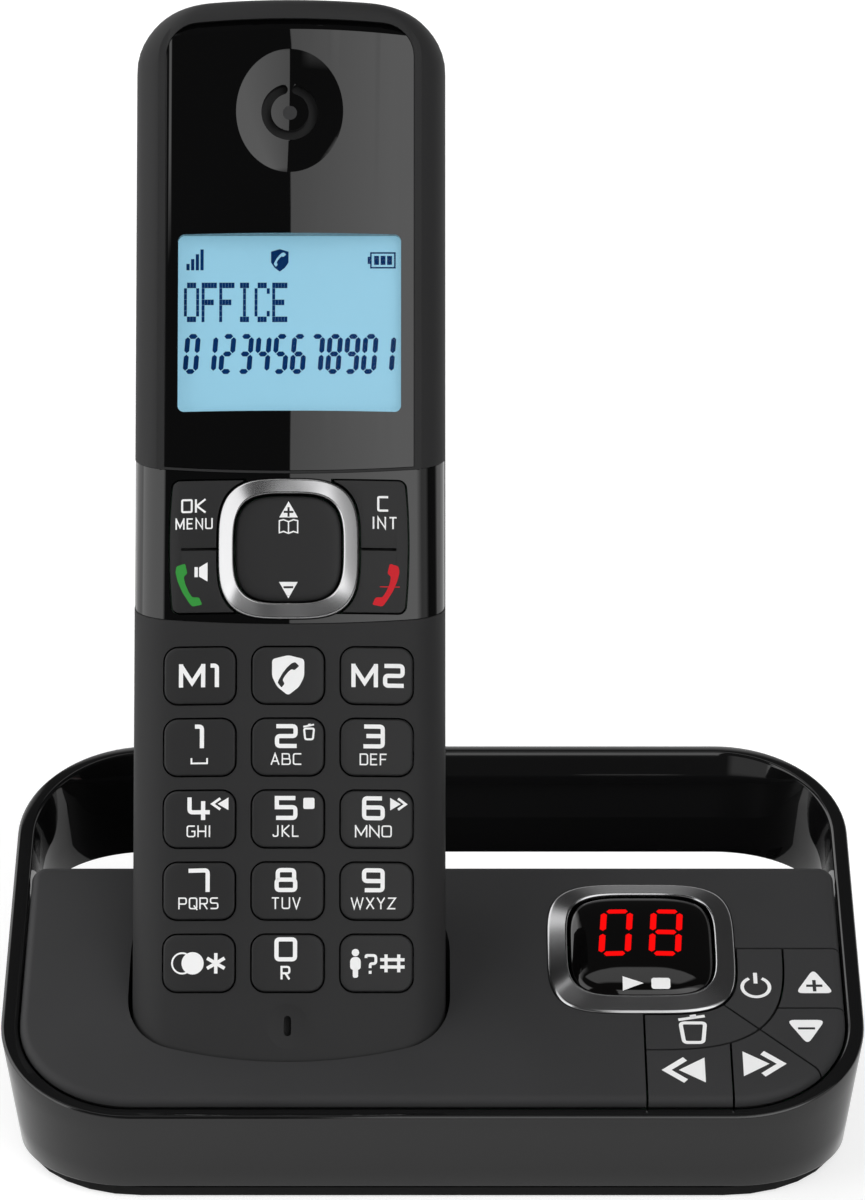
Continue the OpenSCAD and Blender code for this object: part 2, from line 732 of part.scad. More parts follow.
module backlight() {
    top = panel_back - fit_gap - lcd_t;
    half = lcd_w / 2 + lcd_lap;
    color([0.92, 0.95, 0.96]) on_handset()
        block([-half, lcd_low - lcd_lap - lcd_ledge, top - light_t + 0.05],
            [half, lcd_low + lcd_h + lcd_lap, top]);
}

module handset_board() {
    half = key_field_x + 0.5;
    color([0.1, 0.35, 0.2]) on_handset() translate([0, 0, board_top - board_t]) linear_extrude(board_t)
        polygon(rounded(-half, half, post_spots[0][1] + post_r + 1.2, dish_y - 10, 3, 3));
}

// Silicone sheet under the keys
module keypad_mat() {
    low = key_spot(0, 4)[1] - key_h / 2;
    high = key_spot(0, 0)[1] + key_h / 2;
    base = board_top + dome_h + fit_gap;
    color([0.45, 0.45, 0.45]) on_handset() {
        translate([0, 0, base]) linear_extrude(mat_t)
            polygon(rounded(-key_field_x, key_field_x, low, high, 2, 2));
        translate([0, 0, board_top]) linear_extrude(dome_h + fit_gap) difference() {
            polygon(rounded(-key_field_x, key_field_x, low, high, 2, 2));
            polygon(rounded(0.6 - key_field_x, key_field_x - 0.6, low + 0.6, high - 0.6, 1.5, 1.5));
        }
    }
}

// Domed metal discs on the board, one under each key and function
module snap_domes() {
    r = 2.6;
    spots = concat([for (c = [0:2], row = [0:4]) key_spot(c, row)],
        [for (side = [-1, 1], end = [-1, 1]) [side * 14, nav_y + end * 6]],
        [for (end = [-1, 1]) [0, nav_y + end * 5.4]]);
    color([0.75, 0.75, 0.72]) on_handset() for (spot = spots) translate([spot[0], spot[1], board_top])
        cylinder(r1 = r, r2 = r * 0.6, h = dome_h);
}

// Round speaker: basket, rear magnet cup and cone rim, face towards +z
module speaker(r, h) {
    cylinder(r = r * 0.55, h = h * 0.55);
    translate([0, 0, h * 0.55]) cylinder(r1 = r * 0.55, r2 = r, h = h * 0.25);
    translate([0, 0, h * 0.8]) difference() {
        cylinder(r = r, h = h * 0.2);
        translate([0, 0, h * 0.1]) cylinder(r = r * 0.8, h = h);
    }
}

module earpiece_speaker() {
    color([0.3, 0.3, 0.32]) on_handset() translate([0, dish_y, seat_floor - seat_t - 0.1 - earpiece_h])
        speaker(earpiece_r, earpiece_h);
}

module handsfree_speaker() {
    color([0.3, 0.3, 0.32]) on_handset()
        translate([0, dish_y - loud_drop, -hs_t + shell_wall + loud_gap + loud_h]) mirror([0, 0, 1])
            speaker(loud_r, loud_h);
}

module microphone() {
    top = -shell_wall - 0.1;
    color([0.6, 0.6, 0.6]) on_handset() post([0, mic_y], mic_r, top - mic_h, top);
}

module battery_cells() {
    nub = 1;
    color([0.35, 0.55, 0.35]) on_handset() for (side = [-1, 1]) translate([side * cell_x, cell_y, cell_z])
        rotate([-90, 0, 0]) mirror([0, 0, side > 0 ? 1 : 0]) translate([0, 0, side > 0 ? -cell_l : 0]) {
            cylinder(r = cell_d / 2, h = cell_l - nub);
            cylinder(r = 1.9, h = cell_l);
        }
}

// Spring plates at both ends of each cell
module battery_contacts() {
    plate_t = 0.4;
    plate_w = 7.4;
    color([0.78, 0.76, 0.7]) on_handset() for (side = [-1, 1], end = [0, 1]) {
        wall_y = end == 0 ? cell_y - contact_room + 0.1 : cell_y + cell_l + contact_room - 0.1 - plate_t;
        nose_y = end == 0 ? wall_y : wall_y - contact_room + 0.3 + plate_t;
        block([side * cell_x - plate_w / 2, wall_y, cell_z - plate_w / 2],
            [side * cell_x + plate_w / 2, wall_y + plate_t, cell_z + plate_w / 2]);
        translate([side * cell_x, nose_y, cell_z]) rotate([-90, 0, 0])
            cylinder(r = 1.6, h = contact_room - 0.3);
    }
}

// Sliding door with a row of finger grooves
module battery_door() {
    groove_w = 1;
    grooves = 5;
    color([0.17, 0.17, 0.17]) on_handset() difference() {
        translate([0, 0, -hs_t]) linear_extrude(door_t)
            polygon(rounded(-door_w / 2, door_w / 2, door_y, door_y + door_l, 2, 2));
        for (i = [0:grooves - 1]) block([-7, door_y + 5 + 2.2 * i, -hs_t - cut],
            [7, door_y + 5 + 2.2 * i + groove_w, -hs_t + 0.5]);
    }
}

module handset_charge_contacts() {
    color([0.85, 0.75, 0.5]) on_handset() for (side = [-1, 1])
        block([side * contact_x - contact_w / 2, 0, contact_z - contact_t / 2],
            [side * contact_x + contact_w / 2, shell_wall + 0.6, contact_z + contact_t / 2]);
}

module handset_screws() {
    seat = -hs_t + head_sink;
    color([0.6, 0.6, 0.62]) on_handset() for (spot = post_spots) {
        difference() {
            post(spot, head_r, seat - head_h, seat - 0.02);
            translate([spot[0], spot[1], seat - head_h - cut]) linear_extrude(cut + 0.6)
                for (turn = [0, 90]) rotate(turn) square([2.2, 0.5], center = true);
        }
        post(spot, screw_r, seat - 0.02, -shell_wall - 3);
    }
}

// Ring with a face that slopes outwards: inset, height and share of the crown for each level
module nav_ring() {
    half = nav_d / 2;
    low = nav_seat_z + 0.05;
    edge = 0.3;
    levels = [[0, low, 0], [nav_ring_w, low, 0], [nav_ring_w, nav_rise - edge, 0],
        [nav_ring_w - edge, nav_rise, 0], [edge, edge, 0.8], [0, 0, 1]];
    color([0.72, 0.72, 0.74]) on_handset() translate([0, nav_y, 0])
        swept_ring([for (i = [0:squircle_steps - 1]) [for (level = levels)
            let (q = squircle(half - level[0], half - level[0], nav_power)[i])
            [q[0], q[1], level[1] + level[2] * crown_z(q[0])]]]);
}

module nav_pad() {
    half = nav_pad_d / 2 - pad_gap;
    rise = 0.35;
    levels = [[0, side_key_bottom], [0, rise - 0.7], [0.3, rise - 0.2], [0.9, rise],
        [half * 0.6, rise + 0.1]];
    color([0.15, 0.15, 0.15]) on_handset() translate([0, nav_y, 0]) lofted([for (level = levels)
        at_height(squircle(half - level[0], half - level[0], nav_power), level[1])]);
}

// Function key: plate that follows the crown, with a part-way slit between its two ends
module side_key() {
    lift = 0.15;
    slit_w = 0.5;
    slit_x = side_key_x - 1.7;
    difference() {
        intersection() {
            translate([0, 0, side_key_bottom]) linear_extrude(hs_t) side_key_shape(0);
            section_bar(-lift);
        }
        block([-slit_x, nav_y - slit_w / 2, -3.2], [0, nav_y + slit_w / 2, cut]);
    }
}

module left_key() color([0.13, 0.13, 0.13]) on_handset() side_key();
module right_key() color([0.13, 0.13, 0.13]) on_handset() mirror([1, 0, 0]) side_key();

module key_m1() key_colour() key_cap(0, 0);
module key_call() key_colour() key_cap(1, 0);
module key_m2() key_colour() key_cap(2, 0);
module key_1() key_colour() key_cap(0, 1);
module key_2() key_colour() key_cap(1, 1);
module key_3() key_colour() key_cap(2, 1);
module key_4() key_colour() key_cap(0, 2);
module key_5() key_colour() key_cap(1, 2);
module key_6() key_colour() key_cap(2, 2);
module key_7() key_colour() key_cap(0, 3);
module key_8() key_colour() key_cap(1, 3);
module key_9() key_colour() key_cap(2, 3);
module key_star() key_colour() key_cap(0, 4);
module key_0() key_colour() key_cap(1, 4);
module key_hash() key_colour() key_cap(2, 4);

// Path round the rim: place in the deck frame and outward direction, anticlockwise from the right rear corner
function rim_corner(cx, cs, a0) =
    [for (i = [0:corner_steps]) let (a = a0 + 90 * i / corner_steps)
        [cx + rim_corner_r * cos(a), cs + rim_corner_r * sin(a), cos(a), sin(a)]];
function rim_side(x, s0, s1, n) =
    [for (i = [1:n - 1]) [x, s0 + (s1 - s0) * i / n, sign(x), 0]];
function rim_path() =
    let (hx = base_w / 2, cx = hx - rim_corner_r, s0 = rim_corner_r, s1 = base_l - rim_corner_r, n = 14)
    concat(rim_corner(cx, s1, 0), rim_corner(-cx, s1, 90), rim_side(-hx, s1, s0, n), rim_corner(-cx, s0, 180),
        rim_corner(cx, s0, 270), rim_side(hx, s0, s1, n));

// Lower edge of the surround: level along the front, then sweeping up into the rear loop
function rim_low(y) =
    let (t = max(0, min(1, (y - loop_from) / (loop_to - loop_from))))
    plinth_h + (loop_low - plinth_h) * (1 - cos(180 * t)) / 2;

// Section of the surround at one place of the path
function rim_section(p) =
    let (top = deck_point(p[0], p[1], 0), low = rim_low(top[1]), lean = tan(rim_draft), edge = 0.45,
        levels = [[rim_t, top[2] - edge], [rim_t - edge, top[2]], [edge, top[2]], [0, top[2] - edge],
            [0, low], [rim_t, low]])
    [for (level = levels) let (inset = level[0] + (top[2] - level[1]) * lean)
        [top[0] - p[2] * inset, top[1] - p[3] * inset, level[1]]];

module base_ring() {
    color([0.06, 0.06, 0.06]) on_table() swept_ring([for (p = rim_path()) rim_section(p)]);
}

// Deck of the console with rounded edges, solid, before any opening
module deck_plate() {
    start = deck_top - console_edge_r;
    levels = concat([[0.35, deck_low], [0, start]],
        [for (a = [30, 60, 90]) [console_edge_r * (1 - cos(a)), start + console_edge_r * sin(a)]]);
    lofted([for (level = levels) at_height(
        rounded(-inner_x, inner_x, inner_front, console_l, inner_r, console_back_r, level[0]), level[1])]);
}

module bezel_outline(g) polygon(squircle(bezel_w / 2 + g, bezel_l / 2 + g, bezel_power));

// Corner of the deck that belongs to the flush buttons, about the bezel's middle
module button_field(g) {
    difference() {
        translate([-g, -far]) square([far, far + g]);
        bezel_outline(button_gap - 2 * g);
    }
}

module curve_shape(g) polygon(squircle(curve_r + g, curve_r + g, curve_power));

// Flush button: the stretch of the deck that its outline covers, on a stem over its switch
module deck_button(stem) {
    color([0.2, 0.2, 0.2]) on_deck() {
        intersection() {
            deck_plate();
            translate([bezel_x, bezel_s, deck_low - cut]) linear_extrude(deck_t + 2 * cut) intersection() {
                button_field(-button_gap / 2);
                children();
            }
        }
        translate([bezel_x + stem[0], bezel_s + stem[1], stem_low])
            cylinder(r = stem_r, h = deck_low - stem_low + 0.3);
    }
}

// Half-planes about the bezel's middle that split the button field, each half a gap back from its line
module right_of(x) translate([x + button_gap / 2, -far]) square(2 * far);
module left_of(x) translate([x - button_gap / 2 - 2 * far, -far]) square(2 * far);
module above(y) translate([-far, y + button_gap / 2]) square(2 * far);
module below(y) translate([-far, y - button_gap / 2 - 2 * far]) square(2 * far);
module above_diagonal() rotate(-45) translate([-far, button_gap / 2]) square(2 * far);
module below_diagonal() rotate(-45) translate([-far, -button_gap / 2 - 2 * far]) square(2 * far);

module inside_curve() curve_shape(-button_gap / 2);
module outside_curve() difference() {
    square(far, center = true);
    curve_shape(button_gap / 2);
}

module button_power() deck_button(stem_power) intersection() {
    inside_curve();
    above_diagonal();
}
module button_delete() deck_button(stem_delete) intersection() {
    inside_curve();
    below_diagonal();
}
module button_volume_up() deck_button(stem_volume_up) intersection() {
    outside_curve();
    above(-split_d);
    above_diagonal();
}
module button_volume_down() deck_button(stem_volume_down) intersection() {
    outside_curve();
    below(-split_d);
    above_diagonal();
}
module button_skip_back() deck_button(stem_skip_back) intersection() {
    outside_curve();
    left_of(split_d);
    below_diagonal();
}
module button_skip_forward() deck_button(stem_skip_forward) intersection() {
    outside_curve();
    right_of(split_d);
    below_diagonal();
}

module base_console() {
    post_x0 = bezel_x - lens_w / 2 - board_post_r - 0.3;
    post_x1 = bezel_x + bezel_w / 2;
    board_posts = [[post_x0, board_s[0] + 6], [post_x0, board_s[1] - 3], [post_x1, board_s[1] - 3]];
    color([0.22, 0.22, 0.22]) difference() {
        union() {
            on_deck() difference() {
                deck_plate();
                translate([bezel_x, bezel_s, deck_low - cut]) linear_extrude(deck_t + 2 * cut)
                    button_field(button_gap / 2);
            }
            intersection() {
                on_handset() handset_body(-pocket_gap - pocket_wall);
                under_deck(deck_low + 0.3);
            }
            intersection() {
                on_table() for (spot = base_post_spots) translate([spot[0], spot[1], base_post_low])
                    cylinder(r = base_post_r, h = far);
                under_deck(deck_low + 0.3);
            }
            on_deck() for (spot = board_posts) translate([spot[0], spot[1], board_n + 0.05])
                cylinder(r = board_post_r, h = deck_low - board_n + 0.2);
        }
        on_handset() handset_body(-pocket_gap);
        on_deck() translate([bezel_x, bezel_s, deck_top - bezel_sink]) linear_extrude(deck_t)
            bezel_outline(0.1);
        on_deck() translate([bezel_x, bezel_s, deck_low - cut]) linear_extrude(2 * deck_t)
            polygon(squircle(lens_w / 2 + 0.4, lens_l / 2 + 0.4, bezel_power));
        on_table() for (spot = base_post_spots) translate([spot[0], spot[1], 0])
            cylinder(r = base_screw_r + 0.05, h = base_post_low + 6);
    }
}

module display_bezel() {
    low = deck_top - bezel_sink + 0.05;
    crest = deck_top + 1;
    edge = 0.3;
    levels = [[0, low], [bezel_face, low], [bezel_face, crest - edge], [bezel_face - edge, crest],
        [edge, deck_top + edge], [0, deck_top]];
    color([0.5, 0.5, 0.52]) on_deck() translate([bezel_x, bezel_s, 0])
        swept_ring([for (i = [0:squircle_steps - 1]) [for (level = levels)
            let (q = squircle(bezel_w / 2 - level[0], bezel_l / 2 - level[0], bezel_power)[i])
            [q[0], q[1], level[1]]]]);
}

// Domed lens over the digits, which is pressed to play and stop
module play_stop_button() {
    gap = 0.15;
    a = lens_w / 2 - gap;
    b = lens_l / 2 - gap;
    levels = [[0, lens_low], [0, deck_top + 0.2], [0.35, deck_top + 0.75], [1.4, deck_top + lens_rise * 0.7],
        [4, deck_top + lens_rise * 0.92], [7.5, deck_top + lens_rise]];
    color([0.05, 0.05, 0.05]) on_deck() {
        translate([bezel_x, bezel_s, 0]) lofted([for (level = levels)
            at_height(squircle(a - level[0], b - level[0], bezel_power), level[1])]);
        translate([bezel_x + stem_play[0], bezel_s + stem_play[1], stem_low])
            cylinder(r = stem_r, h = lens_low - stem_low + 0.3);
    }
}

// Two-digit display block at the rear edge of the board
module led_display() {
    top = lens_low - button_travel - 0.2;
    color([0.12, 0.05, 0.05]) on_deck()
        block([bezel_x - led_w / 2, board_s[1] - led_l, board_n], [bezel_x + led_w / 2, board_s[1], top]);
}

module base_board() {
    color([0.1, 0.35, 0.2]) on_deck() translate([0, 0, board_n - board_t]) linear_extrude(board_t)
        intersection() {
            polygon(rounded(board_x[0], board_x[1], board_s[0], board_s[1], 2, 2));
            polygon(rounded(-inner_x, inner_x, inner_front, console_l, inner_r, console_back_r, board_inset));
        }
}

module tact_switches() {
    color([0.3, 0.3, 0.3]) on_deck() for (spot = stem_spots)
        translate([bezel_x + spot[0], bezel_s + spot[1], board_n]) {
            translate([-tact_size / 2, -tact_size / 2, 0]) cube([tact_size, tact_size, tact_body]);
            cylinder(r = 1.7, h = tact_top - board_n);
        }
}

// Lower case: floor with the plinth edge, walls up to the deck and a roofed shelf for the sockets
module base_bottom() {
    floor_top = case_low + case_floor;
    roof = rim_front + shelf_y * tan(rim_tilt) + (deck_low - fit_gap) / cos(rim_tilt);
    color([0.18, 0.18, 0.18]) difference() {
        union() {
            difference() {
                union() {
                    on_table() translate([0, 0, case_low]) linear_extrude(flange_top - case_low)
                        polygon(rounded(-flange_x, flange_x, flange_front, case_back, rim_corner_r - 2, 6));
                    case_block(0, case_low, roof);
                }
                case_block(case_wall, floor_top, roof - case_wall);
            }
            on_table() for (spot = base_post_spots) translate([spot[0], spot[1], floor_top - 0.2])
                cylinder(r = base_post_r, h = base_post_low - floor_top);
        }
        on_deck() block([board_x[0] - rim_gap, 0, board_n - board_t - rim_gap],
            [far / 2, board_s[1] + rim_gap, deck_t]);
        on_table() {
            for (spot = foot_spots) translate([spot[0], spot[1], -cut])
                cylinder(r = foot_r + 0.1, h = cut + foot_h + 0.05);
            for (i = [-3:3]) translate([speaker_spot[0], speaker_spot[1] + 3.4 * i, -cut])
                linear_extrude(floor_top + 2 * cut) square([2 * (12 - 1.2 * abs(i)), 1.5], center = true);
            socket_hole(line_socket_x, line_socket_w);
            socket_hole(power_socket_x, power_socket_w);
            for (spot = base_post_spots) translate([spot[0], spot[1], -cut]) {
                cylinder(r = base_screw_r + 0.2, h = far);
                cylinder(r = base_head_r + 0.2, h = cut + case_low + base_head_h + 0.1);
            }
        }
    }
}

// Block of the lower case: upright walls under the sloping deck, then the falling shelf, inset by d
module case_block(d, low, roof) {
    slope = tan(rim_tilt);
    under = rim_front + (deck_low - fit_gap) / cos(rim_tilt);
    top_open = d > 0 ? cut : 0;
    intersection() {
        on_table() translate([0, 0, low]) linear_extrude(far)
            polygon(rounded(-case_x, case_x, case_front, case_back, case_r, 6, d));
        on_table() translate([-far / 2, 0, 0]) rotate([90, 0, 90]) linear_extrude(far) polygon([
            [0, low - cut],
            [case_back + cut, low - cut],
            [case_back + cut, roof - shelf_drop],
            [shelf_y, roof],
            [shelf_y, under + shelf_y * slope + top_open],
            [0, under + top_open]]);
    }
}

module socket_hole(x, w) block([x - w / 2 + 0.8, case_back - case_wall - cut, socket_z + 0.6],
    [x + w / 2 - 0.8, case_back + cut, socket_z + socket_h - 0.6]);

// Modular jack: open at the back, with a notch for the plug's latch and a row of spring wires
module modular_socket(x, w) {
    wall = 1.5;
    y1 = case_back - case_wall - 0.1;
    y0 = y1 - socket_d;
    latch = 4;
    wires = 4;
    on_table() {
        difference() {
            block([x - w / 2, y0, socket_z], [x + w / 2, y1, socket_z + socket_h]);
            block([x - w / 2 + wall, y0 + wall, socket_z + wall + 1.2],
                [x + w / 2 - wall, y1 + cut, socket_z + socket_h - wall]);
            block([x - latch / 2, y0 + wall + 6, socket_z + wall - 0.6],
                [x + latch / 2, y1 + cut, socket_z + socket_h / 2]);
        }
        for (i = [0:wires - 1]) translate([x + 1.2 * (i - (wires - 1) / 2), 0, 0])
            block([-0.25, y0 + wall - 0.2, socket_z + socket_h - wall - 0.6],
                [0.25, y0 + wall + 5, socket_z + socket_h - wall + 0.2]);
    }
}

module line_socket() color([0.1, 0.1, 0.1]) modular_socket(line_socket_x, line_socket_w);
module power_socket() color([0.1, 0.1, 0.1]) modular_socket(power_socket_x, power_socket_w);

module base_feet() {
    color([0.25, 0.25, 0.25]) on_table() for (spot = foot_spots) translate([spot[0], spot[1], 0])
        cylinder(r = foot_r, h = foot_h);
}

module base_speaker() {
    color([0.3, 0.3, 0.32]) on_table()
        translate([speaker_spot[0], speaker_spot[1], case_low + case_floor + 0.1 + speaker_h])
            mirror([0, 0, 1]) speaker(speaker_r, speaker_h);
}

// Sprung strips that meet the handset's contacts, bowed up from the pocket's floor
module base_charge_contacts() {
    bow_r = 3;
    top = -0.25;
    color([0.85, 0.75, 0.5]) on_handset() for (side = [-1, 1]) intersection() {
        translate([side * contact_x - 1.6, top - bow_r, contact_z]) rotate([0, 90, 0])
            cylinder(r = bow_r, h = 3.2);
        block([-far / 2, -pocket_gap + 0.02, -far / 2], [far / 2, 0, far / 2]);
    }
}

module base_screws() {
    color([0.6, 0.6, 0.62]) on_table() for (spot = base_post_spots) translate([spot[0], spot[1], 0]) {
        translate([0, 0, case_low]) cylinder(r = base_head_r, h = base_head_h);
        translate([0, 0, case_low + base_head_h]) cylinder(r = base_screw_r, h = base_post_low + 4);
    }
}

handset_front_shell();
handset_rear_shell();
glossy_band();
screen_panel();
lcd_window();
lcd_module();
backlight();
handset_board();
keypad_mat();
snap_domes();
earpiece_speaker();
handsfree_speaker();
microphone();
battery_cells();
battery_contacts();
battery_door();
handset_charge_contacts();
handset_screws();
nav_ring();
nav_pad();
left_key();
right_key();
key_m1();
key_call();
key_m2();
key_1();
key_2();
key_3();
key_4();
key_5();
key_6();
key_7();
key_8();
key_9();
key_star();
key_0();
key_hash();
base_ring();
base_console();
base_bottom();
base_feet();
base_board();
tact_switches();
led_display();
display_bezel();
play_stop_button();
button_power();
button_delete();
button_volume_up();
button_volume_down();
button_skip_back();
button_skip_forward();
base_speaker();
base_charge_contacts();
line_socket();
power_socket();
base_screws();
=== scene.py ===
"""Looks of the cordless phone: smooth skins, legends, materials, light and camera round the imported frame."""
from math import asin, cos, degrees, pi, radians, sin, sqrt, tan

import bpy
import bmesh
from mathutils import Matrix, Vector
from mathutils.geometry import tessellate_polygon


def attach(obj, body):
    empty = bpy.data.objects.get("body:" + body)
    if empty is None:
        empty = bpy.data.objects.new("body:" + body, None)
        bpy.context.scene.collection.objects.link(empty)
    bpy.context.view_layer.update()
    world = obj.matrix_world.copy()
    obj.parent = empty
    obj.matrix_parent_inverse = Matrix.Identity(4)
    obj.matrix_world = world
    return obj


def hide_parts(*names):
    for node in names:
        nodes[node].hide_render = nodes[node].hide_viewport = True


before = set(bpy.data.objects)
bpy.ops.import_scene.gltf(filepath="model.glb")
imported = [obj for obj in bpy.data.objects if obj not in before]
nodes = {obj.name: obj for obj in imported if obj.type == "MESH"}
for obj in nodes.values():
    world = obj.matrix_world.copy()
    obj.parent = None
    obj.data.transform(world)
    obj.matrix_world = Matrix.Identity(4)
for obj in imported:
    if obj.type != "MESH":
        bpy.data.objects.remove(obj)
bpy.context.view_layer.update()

# Sizes in millimetres, the same as the part's own.
HS_W, HS_L, HS_T, LEAN, HS_LEFT = 48.0, 167.0, 25.0, 29.5, 22.0
CROWN_R, SHOULDER_R, BACK_R = 80.0, 7.0, 9.0
TOP_CORNER, FOOT_CORNER, TOP_ARCH = 9.5, 9.0, 250.0
END_FRONT, END_BACK, FOOT_BACK = 3.0, 10.0, 8.0
PARTING, WALL = 10.5, 2.2
PANEL_W, PANEL_TOP, PANEL_CORNER, PANEL_ARCH = 38.2, 163.5, 5.0, 246.5
LCD_W, LCD_H, LCD_LOW = 34.3, 27.5, 102.65
DISH_D, DISH_DEPTH, DISH_Y, SLOT_OUT, SLOT_IN, SLOT_TURN = 19.2, 1.6, 149.2, 4.4, 2.9, 17
BAND_Y, BAND_TOP, BAND_T, BAND_SINK, SLANT, RIDGE = 69.9, 92.9, 1.1, 0.15, 20.0, 0.55
NAV_Y, NAV_D, NAV_RING, NAV_P, PAD_GAP = 81.4, 21.6, 2.4, 3.4, 0.3
SIDE_X, SIDE_H, SIDE_UP, PLATE_LIFT = 18.2, 20.2, 0.4, 0.15
KEY_W, KEY_H, KEY_R, KEY_GAP, KEY_RISE, KEY_FILLET = 10.9, 8.6, 2.1, 0.25, 0.35, 0.3
PITCH_X, PITCH_Y, ROW_Y, FLANGE_X = 13.5, 10.95, 18.2, 19.01
MIC_Y, MIC_DENT_R, MIC_DENT = 8.7, 3.4, 0.4
DOOR_W, DOOR_Y, DOOR_L = 27.6, 32.0, 54.5
SCREWS = [(-16, 8.6), (16, 8.6), (-16, 152), (16, 152)]
BASE_W, BASE_L, TILT, RIM_Z, RIM_R, RIM_T, DRAFT = 132.0, 83.0, 16.0, 15.2, 20.5, 2.6, 8.0
PLINTH, LOOP_H, CONSOLE_L, DECK, DECK_T, EDGE_R = 1.9, 17.0, 54.2, 0.6, 2.2, 1.4
BEZEL_X, BEZEL_S, BEZEL_W, BEZEL_L, BEZEL_FACE, BEZEL_P = 32.3, 35.4, 29.0, 28.4, 3.1, 4.0
CURVE_R, CURVE_P, SPLIT, LINE = 21.9, 3.1, 13.0, 0.35
POCKET_GAP, POCKET_WALL, POCKET_FRONT, SEAT = 0.7, 1.6, 11.9, 4.0
SIDE_BOW, SIDE_R, SIDE_IN, SLIT_X, SLIT_HALF, PLATE_LOW = 0.5, 1.1, -6.48, 1.7, 0.22, -6.06
LEDGE, LEDGE_T, PANEL_RIM, PANEL_EDGE, EDGE_RUN, EDGE_SLOPE = 1.2, 1.3, 0.9, 1.6, 4, 26
FULL_T, ARCH_L, END_ZONE, FACE_X, MIC_HALF, MIC_R = 22, 40, 10, 22, 1.0, 0.55
FLANGE, FLANGE_LOW, FLANGE_TOP = 0.7, -5.56, -4.76
BAY_X, BAY_OUT, BAY_LOW, BAY_HIGH, BAY_RIM, BAY_FLOOR, BAY_ROOF = 10.95, 12.25, 33.8, 84.7, 1.3, -12.3, -11.1
RAIL_X, RAIL_L, RAIL_TOP, DOOR_GAP, DOOR_SLIDE, DOOR_BACK, DOOR_FACE = 15.8, 8, -21.6, 0.25, 6, -23.2, -23.25
SCREW_HEAD, SCREW_HOLE, SCREW_POST, HEAD_FLOOR, POST_BACK, POST_TOP = 2.3, 1.25, 3.3, -16, -24.5, -10.8
VENT_HALF, VENT_H, VENT_R, VENT_DROP, VENT_PITCH, CONTACT_X, CONTACT_HALF = 8, 0.7, 0.69, 28, 3.2, 9, 2.4
SWEEP_LEAD, SWEEP_TAIL, RIM_EDGE, RIM_GAP, DECK_UNDER, BACK_CORNER = 8, 4, 0.5, 0.3, 0.35, 2.5
STEM_R, STEM_LOW, STEM_TOP = 1.6, -4.35, -1.3
# Reach of cutters, play between fitted pieces, height of a printed mark over its face
FAR, THROUGH, BEHIND, FIT, MARK_LIFT = 200.0, 9, -30, 0.1, 0.02

tilt, lean = radians(TILT), radians(LEAN)
hand_y = POCKET_FRONT * cos(tilt) - DECK * sin(tilt) - SEAT * sin(lean)
hand_z = RIM_Z + POCKET_FRONT * sin(tilt) + DECK * cos(tilt) - SEAT * cos(lean)
mid_y = (hand_y + (HS_L - END_BACK) * sin(lean) + (HS_T - END_BACK) * cos(lean) + END_BACK) / 2
ON_TABLE = Matrix.Translation((0, -mid_y, 0))
ON_DECK = Matrix.Translation((0, -mid_y, RIM_Z)) @ Matrix.Rotation(tilt, 4, "X")
ON_BEZEL = ON_DECK @ Matrix.Translation((BEZEL_X, BEZEL_S, 0))
ON_HANDSET = Matrix.Translation((-HS_LEFT, hand_y - mid_y, hand_z)) @ Matrix.Rotation(radians(90 - LEAN), 4, "X")
MM = Matrix.Scale(0.001, 4)
QUARTER_X = Matrix.Rotation(radians(90), 4, "X")
YZX = Matrix(((0, 0, 1, 0), (1, 0, 0, 0), (0, 1, 0, 0), (0, 0, 0, 1)))


# Outlines

def arc(cx, cy, r, a0, a1, n=8, skip=0):
    turns = [radians(a0 + (a1 - a0) * i / n) for i in range(skip, n + 1)]
    return [(cx + r * cos(a), cy + r * sin(a)) for a in turns]


def rounded(x0, x1, y0, y1, rf, rb=None, d=0.0, n=8):
    rb = rf if rb is None else rb
    return (arc(x1 - rb, y1 - rb, rb - d, 0, 90, n) + arc(x0 + rb, y1 - rb, rb - d, 90, 180, n)
            + arc(x0 + rf, y0 + rf, rf - d, 180, 270, n) + arc(x1 - rf, y0 + rf, rf - d, 270, 360, n))


def crowned(hw, h, cr, rt, rb, n=10, crown_n=28):
    turn = degrees(asin((hw - rt) / (cr - rt)))
    drop = sqrt((cr - rt) ** 2 - (hw - rt) ** 2) - cr
    return (arc(0, -cr, cr, 90 - turn, 90 + turn, crown_n) + arc(rt - hw, drop, rt, 90 + turn, 180, n, 1)
            + arc(rb - hw, rb - h, rb, 180, 270, n) + arc(hw - rb, rb - h, rb, 270, 360, n)
            + arc(hw - rt, drop, rt, 0, 90 - turn, n)[:-1])


def squircle(a, b, p, n=120):
    def f(v):
        return (1 if v > 0 else -1) * abs(v) ** (2 / p)
    return [(a * f(cos(2 * pi * i / n)), b * f(sin(2 * pi * i / n))) for i in range(n)]


def crown_z(x, lift=0.0):
    return sqrt((CROWN_R + lift) ** 2 - x * x) - CROWN_R


PANEL_BACK = crown_z(PANEL_W / 2) - PANEL_RIM
SEAT_FLOOR = PANEL_BACK - FIT


# Meshes

def quads(a, b, n):
    """Faces between two closed rows of n points that start at a and at b."""
    return [(a + i, a + (i + 1) % n, b + (i + 1) % n, b + i) for i in range(n)]


def prism(poly, z0, z1):
    n = len(poly)
    verts = [(x, y, z0) for x, y in poly] + [(x, y, z1) for x, y in poly]
    return verts, [tuple(range(n - 1, -1, -1)), tuple(range(n, 2 * n))] + quads(0, n, n)


def through(poly):
    return prism(poly, -THROUGH, THROUGH)


def loft(loops):
    """Closed solid through loops of points."""
    n, m = len(loops[0]), len(loops)
    verts = [tuple(p) for loop in loops for p in loop]
    faces = [face for k in range(m - 1) for face in quads(k * n, (k + 1) * n, n)]
    faces += [tuple(range(n - 1, -1, -1)), tuple(range((m - 1) * n, m * n))]
    return verts, faces


